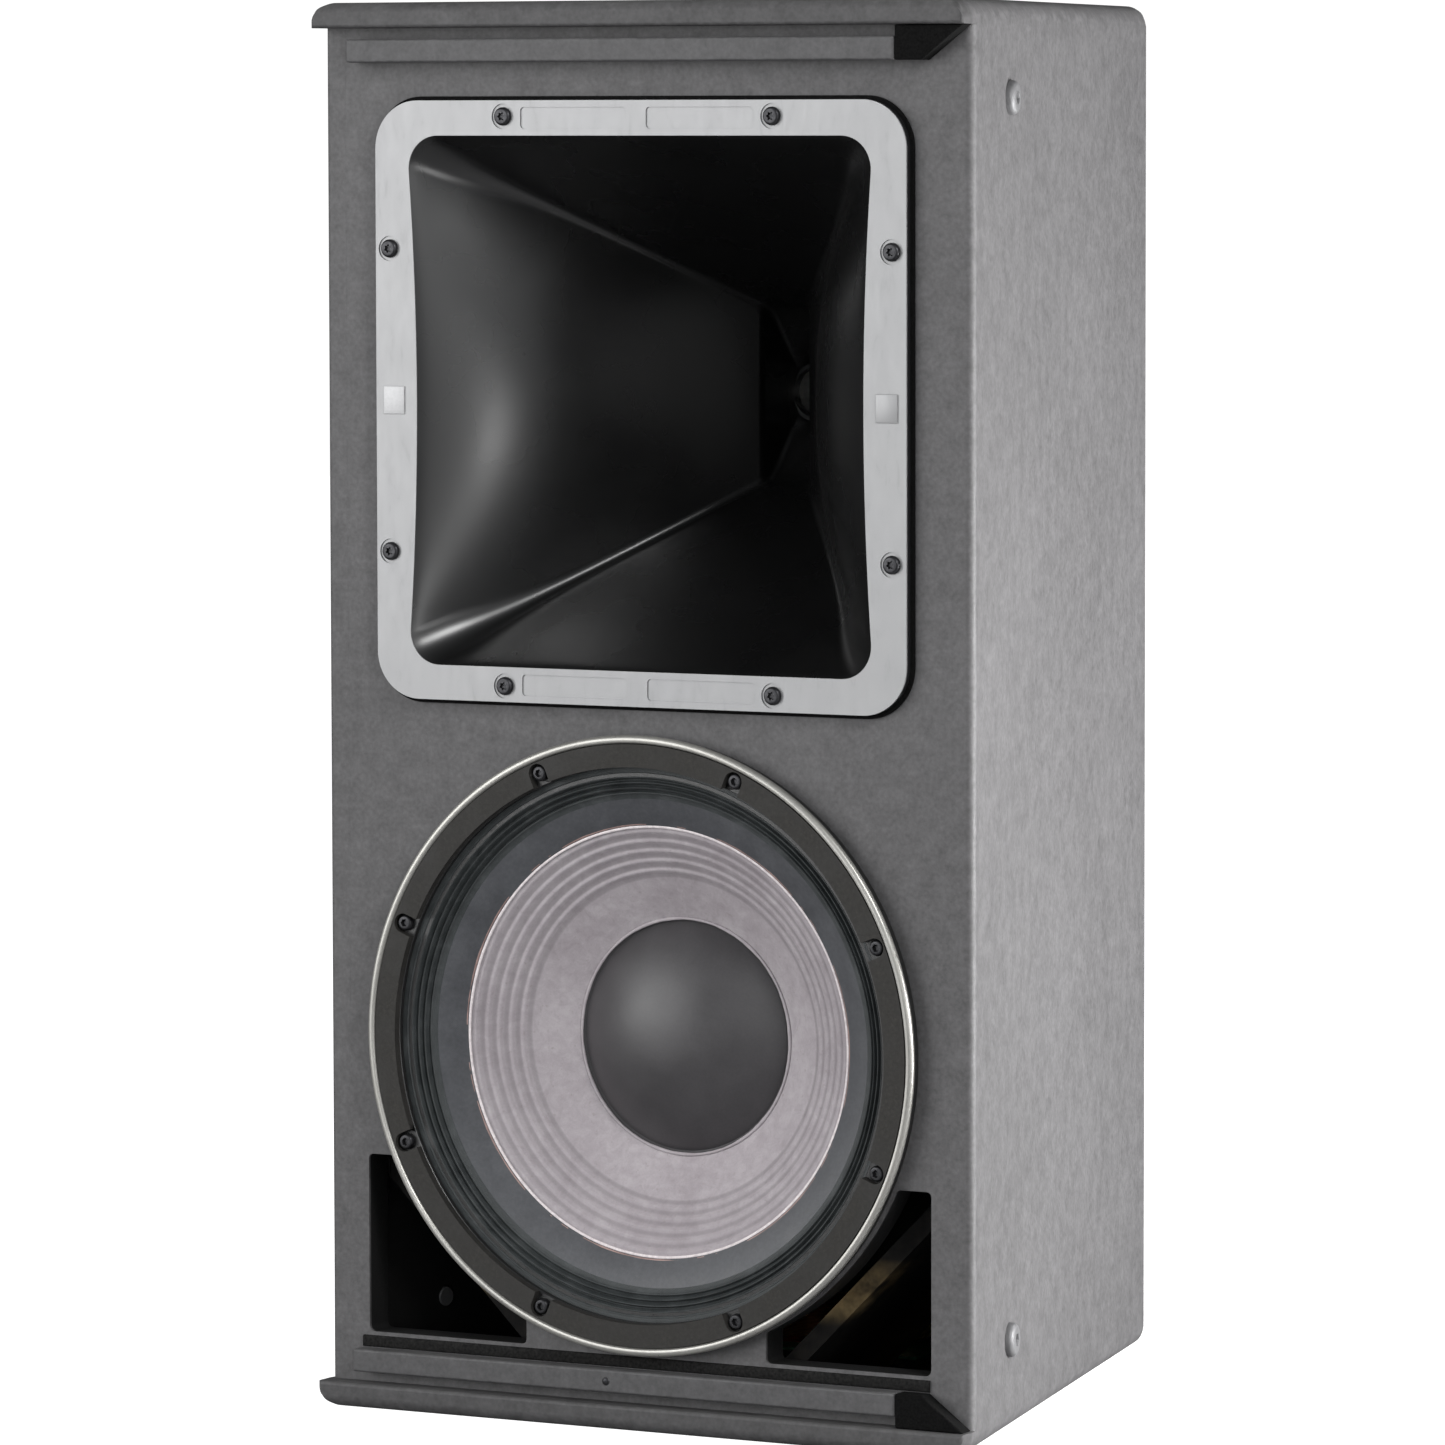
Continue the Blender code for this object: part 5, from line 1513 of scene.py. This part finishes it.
# (radius, height), turned to face the back
SOCKET_RING = [(10.8, 3.0), (11.3, 3.0), (15.2, 3.0), (16.2, 2.5), (16.6, 1.6), (16.6, 0),
               (12.2, 0), (12.2, -26), (0.0, -26), (0.0, -20), (10.8, -20)]
SOCKET_CORE = [(0.0, -3.5), (4.4, -3.5), (5.0, -4.1), (5.0, -20.2), (0.0, -20.2)]
CONTACT_R = 9.8


def connector_plate():
    z = SWITCH_MIDDLE.z
    loops = [shifted(rounded_rect(PLATE_W / 2, PLATE_H / 2, 4, corner=8, side=2), 0, PLATE_Z)]
    loops += [circle(0, socket_z, 12.6, 64) for socket_z in SOCKET_Z.values()]
    loops += [[(-5.5, z - 3), (5.5, z - 3), (5.5, z + 3), (-5.5, z + 3)]]
    loops += [circle(x, hole_z, 1.9, 20) for x, hole_z in PLATE_SCREWS]
    part = outline_solid("connector_plate", loops, PLATE_LO.y - 0.3, PLATE_HI.y, PLATE, edge=0.35)
    attach(flat_faces(part), "input_plate")


def socket(word, z):
    node = f"{word}_speaker_socket"
    base = box(node)[1].y - 3.0
    turned = Matrix.Translation((0, base * MM, 0)) @ Matrix.Rotation(math.pi, 4, "Z")
    for name, profile, segments, stands_for in (("ring", SOCKET_RING, 128, node),
                                                ("core", SOCKET_CORE, 72, None)):
        part = lathe(f"socket_{name}_{word}", profile, SOCKET, segments, loop=False, axis_z=z)
        part.data.transform(turned)
        attach(finish(part, SOCKET, 35), stands_for)
    for k in range(4):
        turn = math.radians(45 + 90 * k)
        part = block(f"socket_contact_{word}_{k + 1}", (1.0, 12.0, 2.4), (0, 0, 0), CONTACT,
                     0.25, 2)
        place = Vector((CONTACT_R * math.cos(turn), base - 12.5, z + CONTACT_R * math.sin(turn)))
        part.data.transform(Matrix.Translation(place * MM) @ Matrix.Rotation(-turn, 4, "Y"))
        attach(part)


def switch():
    """The body in front of the plate, inside the box, and the lever that slides."""
    attach(block("switch_body", (22, 10, 10), (0, SWITCH_LO.y - 6.0, SWITCH_MIDDLE.z), PLATE,
                 0.5, 2))
    part = block("switch_lever_knob", SWITCH_SIZE, SWITCH_MIDDLE, SWITCH, 0.5, 3)
    grooves = []
    for k in (-1, 0, 1):
        groove = prism("cutter", [(-0.22, -2), (0.22, -2), (0.22, 2), (-0.22, 2)], -6, 6, SWITCH)
        place = Vector((SWITCH_MIDDLE.x + k * 1.0, SWITCH_HI.y + 1.6, SWITCH_MIDDLE.z))
        groove.data.transform(Matrix.Translation(place * MM))
        grooves.append(groove)
    subtract(part, join_cutters(grooves))
    attach(finish(part, SWITCH), "mode_switch", body="switch_lever")


connector_plate()
plate_screw = screw_mesh("plate_screw_mesh", head_r=3.3, head_h=2.0, recess="cross", size=1.9,
                         depth=1.2, shank_r=1.8, length=12, sides=64)
for i, (x, z) in enumerate(PLATE_SCREWS):
    put_screw(f"connector_plate_screw_{i + 1}", plate_screw, (x, PLATE_HI.y, z), TURN_BACK,
              0.9 * i)
for word, z in SOCKET_Z.items():
    socket(word, z)
switch()

# ---------------------------------------------------------------------------
# Inside: frame pieces that keep their shape, and the damping wool
# ---------------------------------------------------------------------------
KEPT = {
    "window_brace": PLYWOOD, "left_vent_board": VENT_BOARD, "right_vent_board": VENT_BOARD,
    "hf_front_plate": ZINC, "hf_magnet": FERRITE, "hf_rear_plate": ZINC,
    "hf_diaphragm": TITANIUM, "hf_back_cap": DRIVER_CAP, "woofer_top_plate": ZINC,
    "woofer_magnet": FERRITE, "woofer_back_plate": ZINC, "woofer_terminal": TERMINAL,
    "crossover_board": BOARD, "crossover_inductor": WINDING, "crossover_capacitor": FILM,
    "woofer_lead": RED_LEAD, "hf_lead": BLACK_LEAD,
}
for name, mat in KEPT.items():
    materials = NODES[name].data.materials
    materials.clear()
    materials.append(mat)


def wool_batt():
    """A padded batt, thick in the middle and pulled in along its edges."""
    size, middle = size_and_middle("damping_pad")
    phases = np.random.default_rng(7).uniform(0, 6.28, (6, 3))
    mesh = bpy.data.meshes.new("wool_batt")
    with editing(mesh) as bm:
        bmesh.ops.create_cube(bm, size=1.0)
        bmesh.ops.subdivide_edges(bm, edges=bm.edges, cuts=23, use_grid_fill=True)
        for vertex in bm.verts:
            x, y, z = vertex.co * 2
            crown = (1 - abs(x) ** 4) * (1 - abs(z) ** 6)
            lump = sum(math.sin(x * (3 + k * 2.3) + phases[k][0])
                       * math.sin(z * (5 + k * 3.1) + phases[k][1]) for k in range(5)) / 5
            vertex.co = Vector((
                x * size.x / 2 * (0.97 + 0.02 * math.cos(z * 9)),
                y * size.y / 2 * (0.62 + 0.34 * crown) * (1 - 0.10 * abs(lump)),
                z * size.z / 2 * 0.985)) * MM
    part = new_object("wool_batt", mesh)
    mesh.transform(Matrix.Translation(middle * MM))
    attach(finish(part, WOOL, 70), "damping_pad")


wool_batt()

# ---------------------------------------------------------------------------
# Stage: pale floor, soft studio light, camera; lengths here are in metres
# ---------------------------------------------------------------------------
# how bright the room is towards +X, -X, +Y, -Y, +Z, -Z
ROOM = (0.52, 0.10, 0.12, 1.12, 0.09, 0.05)
LIGHT_TARGET = (0, 0.1, 0.36)
# name, degrees from straight in front towards +X, distance, height, width, length, power
LIGHTS = [
    ("key_left", -42, 2.6, 0.65, 2.2, 2.2, 74.0),
    ("bell_light", 61, 2.2, 0.20, 0.22, 0.5, 4.8),
    ("side_soft", 108, 1.05, 0.27, 0.5, 0.4, 26.0),
    ("side_far", 125, 2.4, 0.4, 1.2, 1.2, 12.0),
    ("crease_light", 57, 1.8, 1.54, 0.34, 0.50, 22.0),
    ("right_soft", 48, 2.4, 0.5, 0.6, 1.4, 2.5),
]
CAMERA_AT = (1.967764, -3.511812, 0.657202)
CAMERA_YAW, CAMERA_PITCH, CAMERA_ROLL = 0.501001, 0.075214, 0.002021  # radians
CAMERA_LENS, CAMERA_SENSOR = 202.666298, 36.0  # mm


def floor():
    """The camera sees a glowing white floor; the other rays meet a dull one."""
    mesh = bpy.data.meshes.new("floor")
    with editing(mesh) as bm:
        bmesh.ops.create_grid(bm, x_segments=1, y_segments=1, size=9.0)
    part = new_object("floor", mesh)
    material = bpy.data.materials.new("floor_white")
    shader = Shader(material, clear=True)
    diffuse = shader.node("BsdfDiffuse", {"Color": grey(0.75)})
    glow = shader.node("Emission", {"Strength": 0.93})
    dull = shader.node("BsdfDiffuse", {"Color": (0.35, 0.35, 0.355)})
    shader.output("Material", shader.node("MixShader", {
        0: shader.node("LightPath", {}, "Is Camera Ray"), 1: dull,
        2: shader.node("AddShader", {0: diffuse, 1: glow})}))
    mesh.materials.append(material)


def studio_world():
    """White to the camera; six soft lobes of light to everything else."""
    SCENE.world = bpy.data.worlds.new("studio")
    shader = Shader(SCENE.world, clear=True)
    axes = shader.split(shader.node("TexCoord", {}, "Generated"))
    total = None
    for i, strength in enumerate(ROOM):
        sign = -1 if i % 2 else 1
        toward = shader.math("MAXIMUM", axes[i // 2] * sign, 0.0)
        lobe = toward * toward * strength
        total = lobe if total is None else total + lobe
    white = shader.node("Background", {"Color": grey(1), "Strength": 1.05})
    soft = shader.node("Background", {"Color": (0.96, 0.98, 1.0), "Strength": total})
    shader.output("World", shader.node("MixShader", {
        0: shader.node("LightPath", {}, "Is Camera Ray"), 1: soft, 2: white}))


def softbox(name, azimuth, distance, z, width, length, power):
    turn = math.radians(azimuth)
    place = Vector((math.sin(turn) * distance, -math.cos(turn) * distance, z))
    light = bpy.data.lights.new(name, "AREA")
    light.shape = "RECTANGLE"
    light.size, light.size_y = width, length
    light.energy = power
    lamp = new_object(name, light)
    lamp.location = place
    lamp.rotation_euler = (Vector(LIGHT_TARGET) - place).to_track_quat("-Z", "Y").to_euler()
    lamp.visible_camera = False


def camera():
    sin_yaw, cos_yaw = math.sin(CAMERA_YAW), math.cos(CAMERA_YAW)
    sin_pitch, cos_pitch = math.sin(CAMERA_PITCH), math.cos(CAMERA_PITCH)
    sin_roll, cos_roll = math.sin(CAMERA_ROLL), math.cos(CAMERA_ROLL)
    forward = Vector((-sin_yaw * cos_pitch, cos_yaw * cos_pitch, -sin_pitch))
    level = Vector((cos_yaw, sin_yaw, 0))
    below = forward.cross(level)
    right = level * cos_roll + below * sin_roll
    down = -level * sin_roll + below * cos_roll
    data = bpy.data.cameras.new("photo_camera")
    data.sensor_width = CAMERA_SENSOR
    data.lens = CAMERA_LENS
    data.clip_end = 60
    viewer = new_object("photo_camera", data)
    rows = [(right[i], -down[i], -forward[i], CAMERA_AT[i]) for i in range(3)]
    viewer.matrix_world = Matrix((*rows, (0, 0, 0, 1)))
    SCENE.camera = viewer


floor()
studio_world()
for light in LIGHTS:
    softbox(*light)
camera()

SCENE.view_settings.view_transform = "Standard"
SCENE.view_settings.look = "None"
SCENE.view_settings.exposure = 0.0
SCENE.view_settings.gamma = 1.0
